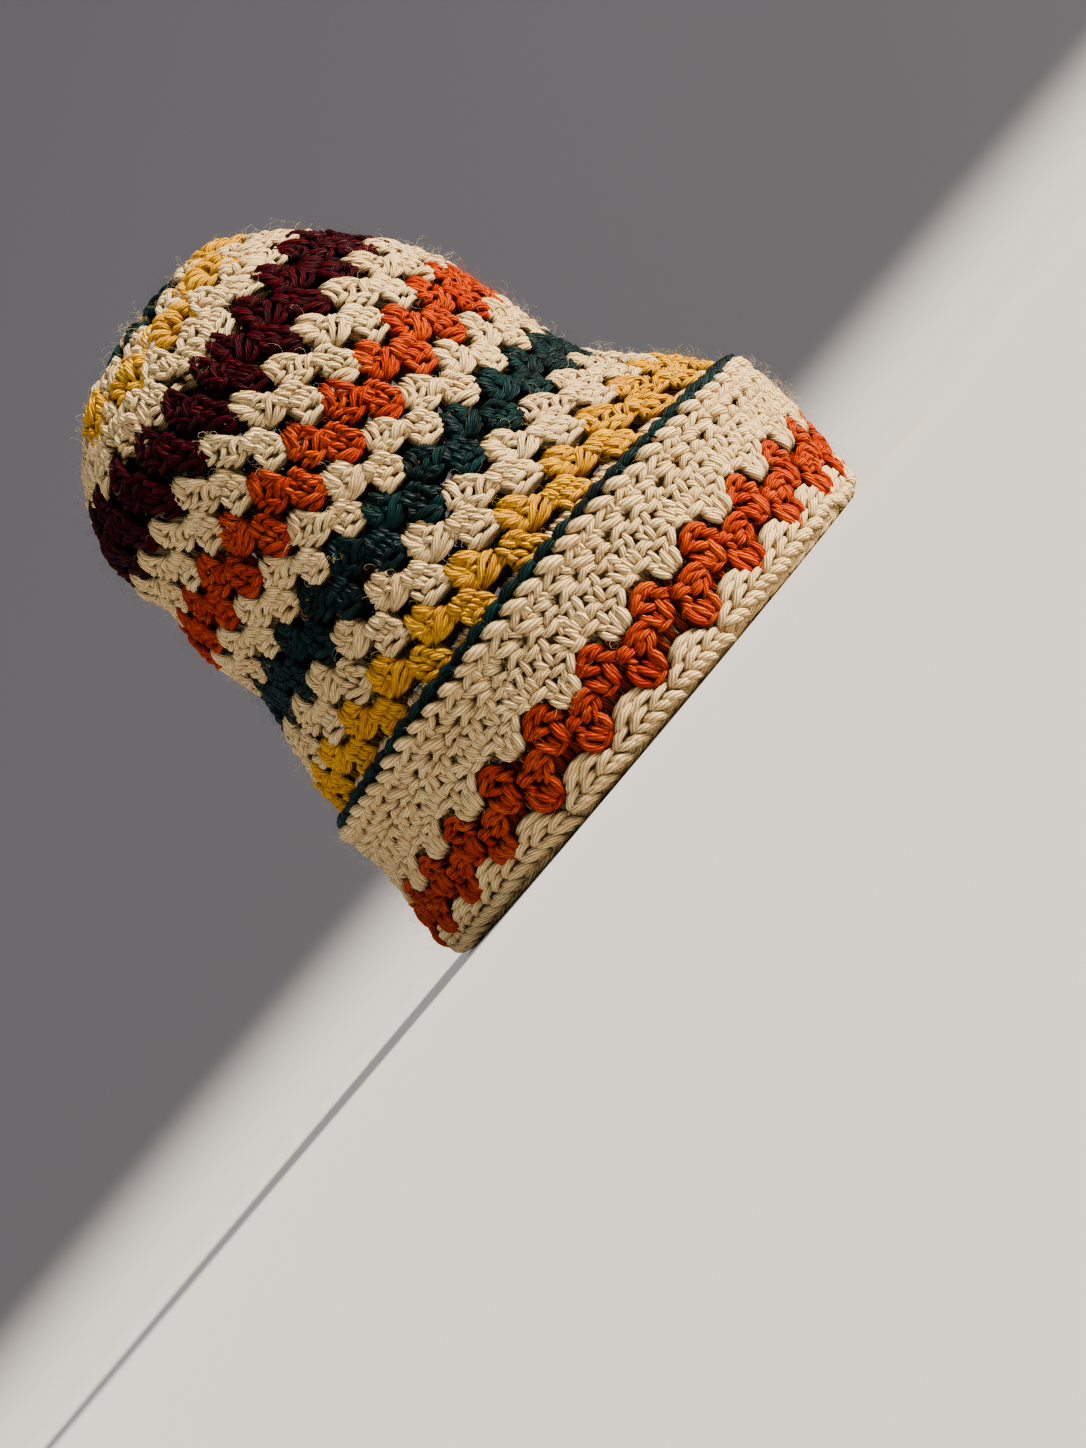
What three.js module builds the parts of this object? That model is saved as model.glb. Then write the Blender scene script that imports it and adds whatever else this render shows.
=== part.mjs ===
// A slouchy crocheted beanie with a turned-up brim, standing on its rim as it would on a table.
//
// The hat is worked in rounds from the centre of the crown down to the rim, in granny clusters of three
// stitches, with a new colour of yarn every two rounds. The last rounds are turned up outside the others as
// a brim, so the wall is double there. Each colour is a ring of its own, and each ring's edge is toothed:
// a cluster hangs into the space between two clusters of the next round, and theirs reach up beside it.
//
// The frame is in millimetres, +Z up, +X to the front of the hat. The origin is on the floor under the
// middle of the hat. Heights are above the floor.

import * as THREE from "three";

// Driving dimensions
const CLUSTERS = 26; // granny clusters in a full round
const HALF_ROUND = 13; // clusters where the crown is half as wide
const WALL = 6; // one layer of crochet in 3 mm yarn
const FRONT_SHIFT = 3.25; // puts the middle of the hat's length over the origin
const LAYER_GAP = 0.8; // air between the brim and the hat inside it
const TOOTH = 0.33; // how far a tooth passes the line between two rings, in rounds
const TOOTH_TAPER = 0.12; // how much narrower a tooth's tip is at each side, in teeth
const TUCK = 0.9; // how far a tooth's tip is drawn in behind the ring's face
const SIDE_GAP = THREE.MathUtils.degToRad(0.15); // half the gap beside a tooth
const EDGE_GAP = 0.2; // half the gap between two rings
const OPEN_GAP = 2.4; // the hole under each tooth, where the net is at its most open
const ROUND_HEIGHT = 9.5; // one round of clusters, used to turn millimetres into rounds

// The turned-up brim
const BRIM_HEIGHT = 60;
const BRIM_LIFT = 2.5; // how much higher the brim's top edge is at the sides
const ORANGE_BOTTOM = 10; // where the orange rounds start, above the fold
const ORANGE_TOP = 30;
const BRIM_TOOTH = 3.3; // the same reach as TOOTH, in millimetres
const FOLD_FLAT = 2.6; // how far in from the brim's face the rim lies flat on the floor
const FOLD_SLIT = 3.4; // where the air between the two layers ends
const FOLD_TOP = 7; // where the fold ends and the hat's inner layer stands on it
const EDGE_CORD = 3.6; // the thin dark round along the brim's top edge
const EDGE_SETBACK = 1.4; // how far in from the brim's face that round lies

const FIRST_HIDDEN_ROUND = 21; // the hat's last round above the brim
const LAST_ROUND = 26; // the hat's last round above the fold
const HIDDEN_ROWS = [22, 24, LAST_ROUND]; // the rounds that shape the hat inside the brim
const INNER_LOOPS = [22.6, 24.3]; // the rounds at which the inner layer has loops between its edges

// Small changes of level that lead down each face, in rounds on the hat and in millimetres on the brim
const HAT_STEP = 0.05;
const BRIM_STEP = -0.5;
const SMALL_TURN = 0.01; // a small change of angle along a loop, in radians

// The hat's outer face, a row for each line between two colours, with the round counted from the crown's
// centre. front and back are X, half is half the width in Y, and each has the height at which it lies.
const BODY = [
  { round: 0, front: -18, frontZ: 235, back: -18, backZ: 235, half: 0, sideZ: 235 },
  { round: 1, front: -7, frontZ: 234.7, back: -28.5, backZ: 233.6, half: 10.5, sideZ: 233.2 },
  { round: 3, front: 14.5, frontZ: 231.5, back: -48, backZ: 226.8, half: 29, sideZ: 222.5 },
  { round: 5, front: 31, frontZ: 222.5, back: -64, backZ: 215.5, half: 44.5, sideZ: 209 },
  { round: 7, front: 46.5, frontZ: 205.5, back: -79.5, backZ: 198, half: 59, sideZ: 193 },
  { round: 9, front: 60.5, frontZ: 182, back: -88.3, backZ: 170.5, half: 69.5, sideZ: 171 },
  { round: 11, front: 68, frontZ: 160.5, back: -90.3, backZ: 151.5, half: 73.5, sideZ: 151 },
  { round: 13, front: 71.5, frontZ: 137.5, back: -91.3, backZ: 131.5, half: 75, sideZ: 132 },
  { round: 15, front: 73, frontZ: 118, back: -90.2, backZ: 114.5, half: 76, sideZ: 117 },
  { round: 17, front: 79, frontZ: 102, back: -94.2, backZ: 97, half: 78.5, sideZ: 100.5 },
  { round: 19, front: 91.5, frontZ: 83.5, back: -99.3, backZ: 80, half: 82.5, sideZ: 83 },
  { round: 21, front: 101.5, frontZ: 63.5, back: -101.5, backZ: 63, half: 86.4, sideZ: 65 },
];

// The brim's outer face, a row for each height.
const BRIM = [
  { height: 0, front: 101, back: -111.5, half: 90 },
  { height: 10, front: 103.5, back: -115, half: 91.5 },
  { height: 25, front: 106, back: -112, half: 92.5 },
  { height: 40, front: 108.5, back: -108.3, half: 93 },
  { height: 60, front: 108.5, back: -108.3, half: 93.5 },
  { height: 70, front: 108.5, back: -108.3, half: 93.5 },
];

// Yarn colours, the same in every ring of that colour
const YARN = {
  cream: { color: "#d8cbb0", roughness: 0.9 },
  orange: { color: "#cf4a12", roughness: 0.85 },
  teal: { color: "#123f3c", roughness: 0.85 },
  mustard: { color: "#d2930f", roughness: 0.85 },
  burgundy: { color: "#4d0a18", roughness: 0.85 },
};

// The rings above the brim, from the crown's centre down. upper and lower are the teeth along each edge, as
// many as there are clusters where they aren't given, and 0 for an even edge. open says that the holes
// under the teeth above stay open.
const RINGS = [
  { name: "crown_ring_teal", yarn: "teal", from: 1, to: 2, upper: 0, lower: 0 },
  { name: "crown_ring_cream", yarn: "cream", from: 2, to: 3, upper: 0, lower: HALF_ROUND },
  { name: "crown_ring_mustard", yarn: "mustard", from: 3, to: 5, upper: HALF_ROUND, lower: HALF_ROUND },
  { name: "ring_1_cream", yarn: "cream", from: 5, to: 7, upper: HALF_ROUND },
  { name: "ring_2_burgundy", yarn: "burgundy", from: 7, to: 9 },
  { name: "ring_3_cream", yarn: "cream", from: 9, to: 11 },
  { name: "ring_4_orange", yarn: "orange", from: 11, to: 13, open: true },
  { name: "ring_5_cream", yarn: "cream", from: 13, to: 15, open: true },
  { name: "ring_6_teal", yarn: "teal", from: 15, to: 17 },
  { name: "ring_7_cream", yarn: "cream", from: 17, to: 19, open: true },
  { name: "ring_8_mustard", yarn: "mustard", from: 19, to: 21, open: true },
];

// Interpolates a table smoothly: a cubic through its rows, with each row's slope taken from its neighbours.
function readTable(rows, key, at) {
  const last = rows.length - 1;
  let i = 0;
  while (i < last - 1 && at > rows[i + 1][key]) i++;
  const slope = (n, column) => {
    const a = rows[Math.max(n - 1, 0)];
    const b = rows[Math.min(n + 1, last)];
    return (b[column] - a[column]) / (b[key] - a[key]);
  };
  const width = rows[i + 1][key] - rows[i][key];
  const t = (at - rows[i][key]) / width;
  const found = {};
  for (const column of Object.keys(rows[i])) {
    const rise = rows[i + 1][column] - rows[i][column];
    const first = slope(i, column) * width - rise;
    const second = rise - slope(i + 1, column) * width;
    found[column] = rows[i][column] + t * rise + t * (1 - t) * ((1 - t) * first + t * second);
  }
  return found;
}

// One point of a loop round the hat: an oval whose front, back and sides lie at heights of their own.
function onLoop({ front, frontZ, back, backZ, half, sideZ }, angle) {
  const along = Math.cos(angle);
  const endZ = along > 0 ? frontZ : backZ;
  return new THREE.Vector3(
    (front + back) / 2 + FRONT_SHIFT + ((front - back) / 2) * along,
    half * Math.sin(angle),
    sideZ + (endZ - sideZ) * along * along,
  );
}

// The brim's outer face. level is the height at the front, and the sides are lifted in proportion.
function brimFace(level, angle) {
  const row = readTable(BRIM, "height", level);
  const sideZ = level * (1 + BRIM_LIFT / BRIM_HEIGHT);
  return onLoop({ ...row, frontZ: level, backZ: level, sideZ }, angle);
}

// The hat's outer face. Inside the brim it follows the brim's own shape, one layer further in.
const hiddenRows = HIDDEN_ROWS.map((round) => {
  const drop = (round - FIRST_HIDDEN_ROUND) / (LAST_ROUND - FIRST_HIDDEN_ROUND);
  const level = BRIM_HEIGHT + (FOLD_TOP - BRIM_HEIGHT) * drop;
  const { front, back, half } = readTable(BRIM, "height", level);
  const inset = WALL + LAYER_GAP;
  return {
    round,
    front: front - inset,
    frontZ: level,
    back: back + inset,
    backZ: level,
    half: half - inset,
    sideZ: FOLD_TOP + (level - FOLD_TOP) * (1 + BRIM_LIFT / BRIM_HEIGHT),
  };
});
const HAT = [...BODY, ...hiddenRows];
const hatFace = (level, angle) => onLoop(readTable(HAT, "round", level), angle);

// The direction out of a face, from its slopes along the loop and from loop to loop. step is a small
// change of level that leads down the face.
function outward(face, level, angle, step) {
  const round = face(level, angle + SMALL_TURN).sub(face(level, angle - SMALL_TURN));
  const down = face(level + step, angle).sub(face(level - step, angle));
  return down.cross(round).normalize();
}

const hatOut = (level, angle) => outward(hatFace, level, angle, HAT_STEP);
const brimOut = (level, angle) => outward(brimFace, level, angle, BRIM_STEP).setZ(0).normalize();
const HAT_SIDE = { face: hatFace, out: hatOut, down: 1 };
const BRIM_SIDE = { face: brimFace, out: brimOut, down: -1 };

// The place some way in from a side's face.
function inFrom({ face, out }, level, angle, inset) {
  return face(level, angle).addScaledVector(out(level, angle), -inset);
}

// A ring with toothed edges, as one closed solid. Each row is a loop of places (outer, inner) at the lines
// between columns, and isSolid(row, column) says which cells between two rows are there.
function ringGeometry(rows, columns, isSolid) {
  const corners = [];
  const index = (row, column, layer) => 2 * (row * columns + (column % columns)) + layer;
  rows.forEach((place) => {
    for (let column = 0; column < columns; column++) {
      const { outer, inner } = place(column);
      corners.push(outer, inner);
    }
  });

  const triangles = [];
  const quad = (a, b, c, d) => triangles.push(a, b, c, a, c, d);
  const has = (row, column) => {
    const isBetweenRows = row >= 0 && row < rows.length - 1;
    return isBetweenRows && isSolid(row, (column + columns) % columns);
  };
  for (let row = 0; row < rows.length - 1; row++) {
    for (let column = 0; column < columns; column++) {
      if (!has(row, column)) continue;
      const corner = (down, along, layer) => index(row + down, column + along, layer);
      quad(corner(0, 0, 0), corner(1, 0, 0), corner(1, 1, 0), corner(0, 1, 0));
      quad(corner(0, 0, 1), corner(0, 1, 1), corner(1, 1, 1), corner(1, 0, 1));
      if (!has(row - 1, column)) quad(corner(0, 0, 1), corner(0, 0, 0), corner(0, 1, 0), corner(0, 1, 1));
      if (!has(row + 1, column)) quad(corner(1, 0, 0), corner(1, 0, 1), corner(1, 1, 1), corner(1, 1, 0));
      if (!has(row, column - 1)) quad(corner(0, 0, 1), corner(1, 0, 1), corner(1, 0, 0), corner(0, 0, 0));
      if (!has(row, column + 1)) quad(corner(0, 1, 0), corner(1, 1, 0), corner(1, 1, 1), corner(0, 1, 1));
    }
  }
  return geometryOf(corners, triangles);
}

// The solid whose triangles name places in a list of corners. Corners that no triangle names are left out.
function geometryOf(corners, triangles) {
  const used = [...new Set(triangles)];
  const place = new Map(used.map((corner, i) => [corner, i]));
  const geometry = new THREE.BufferGeometry();
  geometry.setFromPoints(used.map((corner) => corners[corner]));
  geometry.setIndex(triangles.map((corner) => place.get(corner)));
  geometry.computeVertexNormals();
  return geometry;
}

// The angle of the line between two columns. Every second tooth space is a tooth of this ring. narrow
// moves the line into the tooth, and a negative value widens the tooth.
function toothLine(column, columns, teeth, narrow) {
  const step = (2 * Math.PI) / columns;
  if (!teeth) return column * step;
  const span = columns / (2 * teeth);
  if (column % span) return column * step;
  const leftOfTooth = (column / span) % 2 === 0;
  return column * step + (leftOfTooth ? narrow : -narrow);
}

const toothWidth = (teeth) => Math.PI / teeth;
const isReachingUp = (column, columns, teeth) => Math.floor((column * 2 * teeth) / columns) % 2 === 0;

// The loops of a ring between two edges. Teeth that reach up stand in the even spaces and teeth that
// reach down hang in the odd ones, so two rings with as many teeth fit together.
function ringLoops({ side, from, to, reach, gap, hole, upper, lower, middle, lastLoop, columns }) {
  const away = side.down;
  const place = (level, teeth, narrow, tuck = 0) => (column) => {
    const angle = toothLine(column, columns, teeth, narrow);
    return { outer: inFrom(side, level, angle, tuck), inner: inFrom(side, level, angle, WALL) };
  };
  const taper = (teeth) => TOOTH_TAPER * toothWidth(teeth);
  const loops = [];
  if (upper) {
    loops.push(place(from - away * (reach - gap), upper, taper(upper) + SIDE_GAP, TUCK));
    loops.push(place(from + away * (reach + gap + hole), upper, -taper(upper) + SIDE_GAP));
  } else {
    loops.push(place(from + away * gap, 0, 0));
  }
  (middle ?? []).forEach((level) => loops.push(place(level, 0, 0)));
  if (lower) {
    loops.push(place(to - away * (reach + gap), lower, taper(lower) - SIDE_GAP));
    loops.push(place(to + away * (reach - gap), lower, -taper(lower) - SIDE_GAP, TUCK));
  } else {
    loops.push(lastLoop ?? place(to - away * gap, 0, 0));
  }
  return loops;
}

function toothedRing(ring) {
  const columns = 2 * Math.max(ring.upper, ring.lower, HALF_ROUND);
  const loops = ringLoops({ ...ring, columns });
  const lastRow = loops.length - 2;
  return ringGeometry(loops, columns, (row, column) => {
    if (ring.upper && row === 0) return isReachingUp(column, columns, ring.upper);
    if (ring.lower && row === lastRow) return !isReachingUp(column, columns, ring.lower);
    return true;
  });
}

const inRounds = (millimetres) => millimetres / ROUND_HEIGHT;

function bodyRing({ from, to, upper = CLUSTERS, lower = CLUSTERS, open }) {
  const hole = open ? inRounds(OPEN_GAP) : 0;
  const gap = inRounds(EDGE_GAP);
  return toothedRing({ side: HAT_SIDE, from, to, reach: TOOTH, gap, hole, upper, lower });
}

// The small disc at the centre of the crown, where the first round is drawn together.
function crownCentre() {
  const columns = 2 * HALF_ROUND;
  const edge = 1 - inRounds(EDGE_GAP);
  const top = hatFace(0, 0);
  const corners = [top, top.clone().setZ(top.z - WALL)];
  for (let column = 0; column < columns; column++) {
    const angle = toothLine(column, columns, 0, 0);
    corners.push(inFrom(HAT_SIDE, edge, angle, 0), inFrom(HAT_SIDE, edge, angle, WALL));
  }
  const triangles = [];
  for (let column = 0; column < columns; column++) {
    const here = 2 + 2 * column;
    const next = 2 + 2 * ((column + 1) % columns);
    triangles.push(0, here, next, 1, next + 1, here + 1);
    triangles.push(here, here + 1, next + 1, here, next + 1, next);
  }
  return geometryOf(corners, triangles);
}

// The hat's own layer inside the brim, down to the fold.
function innerLayer() {
  const level = FOLD_TOP + EDGE_GAP;
  const lastLoop = (column) => {
    const angle = toothLine(column, 2 * CLUSTERS, 0, 0);
    const outer = inFrom(BRIM_SIDE, level, angle, WALL + LAYER_GAP);
    return { outer, inner: inFrom(BRIM_SIDE, level, angle, 2 * WALL + LAYER_GAP) };
  };
  return toothedRing({
    side: HAT_SIDE,
    from: FIRST_HIDDEN_ROUND,
    to: LAST_ROUND,
    reach: TOOTH,
    gap: inRounds(EDGE_GAP),
    hole: 0,
    upper: CLUSTERS,
    lower: 0,
    middle: INNER_LOOPS,
    lastLoop,
  });
}

// A ring of the brim, from its upper edge down.
function brimRing(from, to, upper) {
  const ring = { from, to, upper, lower: CLUSTERS };
  return toothedRing({ ...ring, side: BRIM_SIDE, reach: BRIM_TOOTH, gap: EDGE_GAP, hole: 0 });
}

// The fold at the rim. It turns the wall from the inner layer to the brim, lies flat on the floor, and has
// teeth on its outer leg only. Each loop gives how far in from the brim's face its two places lie.
function rimFold() {
  const columns = 2 * CLUSTERS;
  const innerLeg = WALL + LAYER_GAP;
  const depth = innerLeg + WALL;
  const foot = FOLD_TOP - EDGE_GAP;
  const taper = TOOTH_TAPER * toothWidth(CLUSTERS);
  const tip = ORANGE_BOTTOM + BRIM_TOOTH - EDGE_GAP;
  const root = ORANGE_BOTTOM - BRIM_TOOTH - EDGE_GAP;
  const place = (narrow, outer, inner) => (column) => {
    const angle = toothLine(column, columns, CLUSTERS, narrow);
    return {
      outer: inFrom(BRIM_SIDE, outer.level, angle, outer.inset),
      inner: inFrom(BRIM_SIDE, inner.level, angle, inner.inset),
    };
  };
  const loops = [
    place(taper + SIDE_GAP, { level: tip, inset: TUCK }, { level: tip, inset: WALL }),
    place(-taper + SIDE_GAP, { level: root, inset: 0 }, { level: root, inset: WALL }),
    place(0, { level: 0, inset: FOLD_FLAT }, { level: FOLD_SLIT, inset: WALL }),
    place(0, { level: 0, inset: depth - FOLD_FLAT }, { level: FOLD_SLIT, inset: innerLeg }),
    place(0, { level: foot, inset: depth }, { level: foot, inset: innerLeg }),
  ];
  return ringGeometry(loops, columns, (row, column) => row > 0 || isReachingUp(column, columns, CLUSTERS));
}

// The thin round of another yarn worked along the brim's top edge.
function brimEdge() {
  const columns = 2 * CLUSTERS;
  const up = new THREE.Vector3(0, 0, 1);
  const corner = (inset, rise) => (column) => {
    const angle = toothLine(column, columns, 0, 0);
    return inFrom(BRIM_SIDE, BRIM_HEIGHT, angle, inset).addScaledVector(up, rise);
  };
  const outerSide = corner(EDGE_SETBACK, EDGE_GAP);
  const outerTop = corner(EDGE_SETBACK, EDGE_GAP + EDGE_CORD);
  const innerSide = corner(EDGE_SETBACK + EDGE_CORD, EDGE_GAP);
  const innerTop = corner(EDGE_SETBACK + EDGE_CORD, EDGE_GAP + EDGE_CORD);
  const loops = [
    (column) => ({ outer: outerTop(column), inner: innerTop(column) }),
    (column) => ({ outer: outerSide(column), inner: innerSide(column) }),
  ];
  return ringGeometry(loops, columns, () => true);
}

const hat = new THREE.Group();

function addPiece(name, yarn, geometry) {
  const material = new THREE.MeshStandardMaterial({ ...YARN[yarn], metalness: 0 });
  const mesh = new THREE.Mesh(geometry, material);
  mesh.name = name;
  hat.add(mesh);
}

addPiece("crown_centre_cream", "cream", crownCentre());
RINGS.forEach((ring) => addPiece(ring.name, ring.yarn, bodyRing(ring)));
addPiece("inner_layer_cream", "cream", innerLayer());
addPiece("rim_fold_cream", "cream", rimFold());
addPiece("brim_orange", "orange", brimRing(ORANGE_TOP, ORANGE_BOTTOM, CLUSTERS));
addPiece("brim_cream", "cream", brimRing(BRIM_HEIGHT, ORANGE_TOP, 0));
addPiece("brim_edge_teal", "teal", brimEdge());

export default hat;
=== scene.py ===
"""Crochets a slouchy granny-stripe beanie, strand by strand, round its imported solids.

Every colour ring of the frame is replaced by its stitches. A stitch is a few short strands of yarn, written
down flat in millimetres, and each round lays them side by side on the hat's curved face.
"""

import math
from collections import namedtuple

import bpy
import numpy as np
from mathutils import Matrix, Vector


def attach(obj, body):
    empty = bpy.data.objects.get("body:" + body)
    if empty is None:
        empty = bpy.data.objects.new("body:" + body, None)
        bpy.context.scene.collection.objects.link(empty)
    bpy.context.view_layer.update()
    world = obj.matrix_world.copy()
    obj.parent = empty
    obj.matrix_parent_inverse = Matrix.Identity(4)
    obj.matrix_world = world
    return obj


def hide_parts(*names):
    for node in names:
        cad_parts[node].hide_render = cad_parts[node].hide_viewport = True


bl_info = {
    "name": "Crocheted Beanie",
    "version": (1, 0, 0),
    "blender": (4, 5, 0),
    "location": "3D View > Sidebar > Beanie",
    "description": "Crochets a granny-stripe beanie round its packed solids and lights it",
    "category": "Object",
}

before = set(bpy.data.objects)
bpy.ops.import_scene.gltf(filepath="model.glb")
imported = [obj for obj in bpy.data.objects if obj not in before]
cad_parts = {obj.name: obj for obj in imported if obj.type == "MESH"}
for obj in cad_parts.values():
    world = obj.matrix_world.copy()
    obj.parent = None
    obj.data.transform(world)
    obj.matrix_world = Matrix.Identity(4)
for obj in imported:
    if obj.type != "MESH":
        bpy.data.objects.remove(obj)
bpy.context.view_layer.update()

MM = 0.001
TURN = 2 * math.pi

# The hat's outer face in millimetres. It is the face of its solids, apart from 2 to 4 mm at the crown's
# front, above the brim's front and in the shallow dent that a slouch leaves at the back. Columns: round,
# front x, front height, back x, back height, half width, side height. Rounds are counted down from the
# crown's centre.
HAT_ROWS = [
    (0, -18, 235, -18, 235, 0, 235),
    (1, -7, 234.7, -28.5, 233.6, 10.5, 233.2),
    (3, 12.5, 231.5, -48, 226.8, 29, 222.5),
    (5, 28.5, 222.5, -64, 215.5, 44.5, 209),
    (7, 45, 205.5, -79.5, 198, 59, 193),
    (8, 53.3, 194, -87.4, 182.5, 64.9, 182.2),
    (9, 60.5, 182, -88.2, 168.5, 69.5, 171),
    (10, 65, 171.2, -86, 158.5, 72, 160.8),
    (11, 68, 160.5, -87.4, 150.5, 73.5, 151),
    (12, 69.9, 148.9, -90.2, 141, 74.4, 141.2),
    (13, 71, 137.5, -90.8, 131.5, 75, 132),
    (15, 71.5, 118, -88.6, 114.5, 76, 117),
    (17, 76, 102, -93, 97, 78.5, 100.5),
    (19, 89, 83.5, -98.8, 80, 82.5, 83),
    (21, 101.5, 63.5, -101.5, 63, 86.4, 65),
]

# The turned-up brim's outer face. Columns: height, front x, back x, half width.
BRIM_ROWS = [
    (0, 101, -111.5, 90),
    (10, 103.5, -115, 91.5),
    (25, 106, -112, 92.5),
    (40, 108.5, -108.3, 93),
    (60, 108.5, -108.3, 93.5),
    (70, 108.5, -108.3, 93.5),
]
# Every x of both tables is moved this far to the front.
FRONT_SHIFT = 3.25
BRIM_HEIGHT = 60.0
# The brim stands 2.5 mm higher at its sides, which is this share of every height.
BRIM_LIFT = 2.5 / BRIM_HEIGHT
WALL = 6.0
LAYER_GAP = 0.8
# The brim's full strands stand out of its face. So that it isn't too wide, they are worked this much further
# in.
BRIM_TRIM = 1.5
# Round 21 is the last that shows. From there the cloth goes down inside the brim, to the top of the fold. Its
# face is worked out at the hidden rows.
FOLD_TOP = 7.0
LAST_SHOWN_ROUND = 21
LAST_ROUND = 26
HIDDEN_ROWS = (22, 24, LAST_ROUND)

# The crown's rounds. Each has its number of clusters, the place of the first one as a share of the way to
# the next, how many rounds further down it hangs, how far it reaches up between the wide clusters of round 4,
# and how many millimetres it lies lower than the face. The wide clusters take up two rounds, so there is no
# round 5. Every later round has CLUSTERS and none of the rest.
CLUSTERS = 26
CrownRound = namedtuple("CrownRound", "count first drop reach sink")
CROWN = {
    1: CrownRound(6, 0.0, 0.2, 0.0, 5.0),
    2: CrownRound(9, 0.5, 0.4, 0.0, 3.2),
    3: CrownRound(11, 0.0, 0.5, -0.1, 2.7),
    4: CrownRound(11, 0.5, 0.3, 0.0, 2.2),
    6: CrownRound(22, 0.0, 0.0, 0.42, 1.4),
    7: CrownRound(22, 0.5, -0.1, 0.2, 0.7),
}
PLAIN_ROUND = CrownRound(CLUSTERS, 0, 0, 0, 0)
WIDE_ROUND = 4

# Even rounds draw to UP_PHASE of the way between even places and odd ones to DOWN_PHASE, by EASING of what is
# missing. Two clusters that share a gap stand this share of it to each side.
UP_PHASE = 0.25
DOWN_PHASE = 0.75
EASING = 0.4
SHARED_GAP = 0.22

# The height of a round, and how many rounds further up a cluster begins, over the one above it.
ROUND_MM = 10.24
OVERLAP_ROUNDS = 1.33

# The distance between stitches as a table was written, and how far its dense part reaches from the middle.
# What is beyond that links the stitch to the next one. Where stitches stand closer or wider apart, the dense
# part is drawn in or out, but not past these shares of its own width.
Span = namedtuple("Span", "pitch core")
NARROWEST = 0.6
WIDEST = 1.12
BODY_SPAN = Span(18.5, 7.0)
FAN_SPAN = Span(22.0, 22.0)
KNOT_SPAN = Span(14.6, 14.6)
BRIM_PITCH = 24.5
BRIM_SPAN = Span(BRIM_PITCH, BRIM_PITCH)
EDGE_STITCHES = 3
EDGE_SPAN = Span(BRIM_PITCH / EDGE_STITCHES, BRIM_PITCH / EDGE_STITCHES)

# A strand: its radius, how far its middle stands out of the face, and its points along the round (x) and down
# from the cluster's top (y). Its ends tuck in behind the strands beside it.
Strand = namedtuple("Strand", "radius out points")

# The clusters below were measured on the standing hat: how thick each strand looks, how far it stands out,
# and its points, to the right of the hat's middle and above the floor.

# A cluster of three stitches in a colour's first round: long stitches that spread like a tent.
TOWER = [
    (1.7, -0.7, (-25.4, 110.2), (-26.2, 108), (-26.3, 105.5), (-26.6, 104)),
    (2.6, 0.3, (-24.4, 110.6), (-24.9, 107.5), (-24.2, 104.5), (-22.8, 102.0)),
    (2.1, 0.0, (-22.8, 110.6), (-22.8, 107.5), (-22.4, 104.5), (-22.2, 102.0)),
    (1.8, -0.5, (-21.4, 110.0), (-20.8, 107), (-20.4, 104.0)),
    (2.2, -0.1, (-20.5, 110.8), (-19.7, 107.6), (-18.6, 104.0)),
    (2.7, 0.3, (-19.3, 110.6), (-18.2, 107.6), (-16.6, 104.2)),
    (2.2, -0.1, (-17.5, 110.6), (-16.0, 107.6), (-14.3, 104.2)),
    (2.7, 0.1, (-27.6, 104.4), (-25.8, 103.0), (-24.2, 100.8)),
    (2.3, -0.1, (-28.0, 101.6), (-25.0, 101.2), (-20.2, 101.8)),
    (2.2, -0.6, (-28.0, 99.8), (-25, 99.4), (-20.4, 99.8)),
    (2.1, 0.2, (-20.9, 104.2), (-18, 104.5), (-14.6, 103.4)),
    (2.3, 0.1, (-20.9, 103.2), (-19.4, 101.6), (-18.6, 99.6)),
    (2.2, 0.0, (-18.0, 102.0), (-15.6, 102.3), (-13.2, 102.6)),
    (2.3, -0.3, (-28.4, 98.2), (-24, 98.0), (-20.0, 99.2)),
    (2.5, 0.4, (-25.2, 96.8), (-20.5, 98.7), (-16.5, 100.7), (-12.0, 101.4)),
    (2.2, 0.2, (-24.6, 95.6), (-20, 96.5), (-15.5, 98.0), (-11.8, 99.4)),
    (2.1, -0.4, (-25.6, 95.9), (-20.5, 94.8), (-17, 95.4), (-13.4, 97.4)),
    (2.0, -0.9, (-16.5, 97.0), (-13.5, 96.8), (-10.6, 97.2)),
    (1.9, -1.2, (-15.5, 95.6), (-12.5, 95.4), (-9.8, 96.0)),
]

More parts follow.
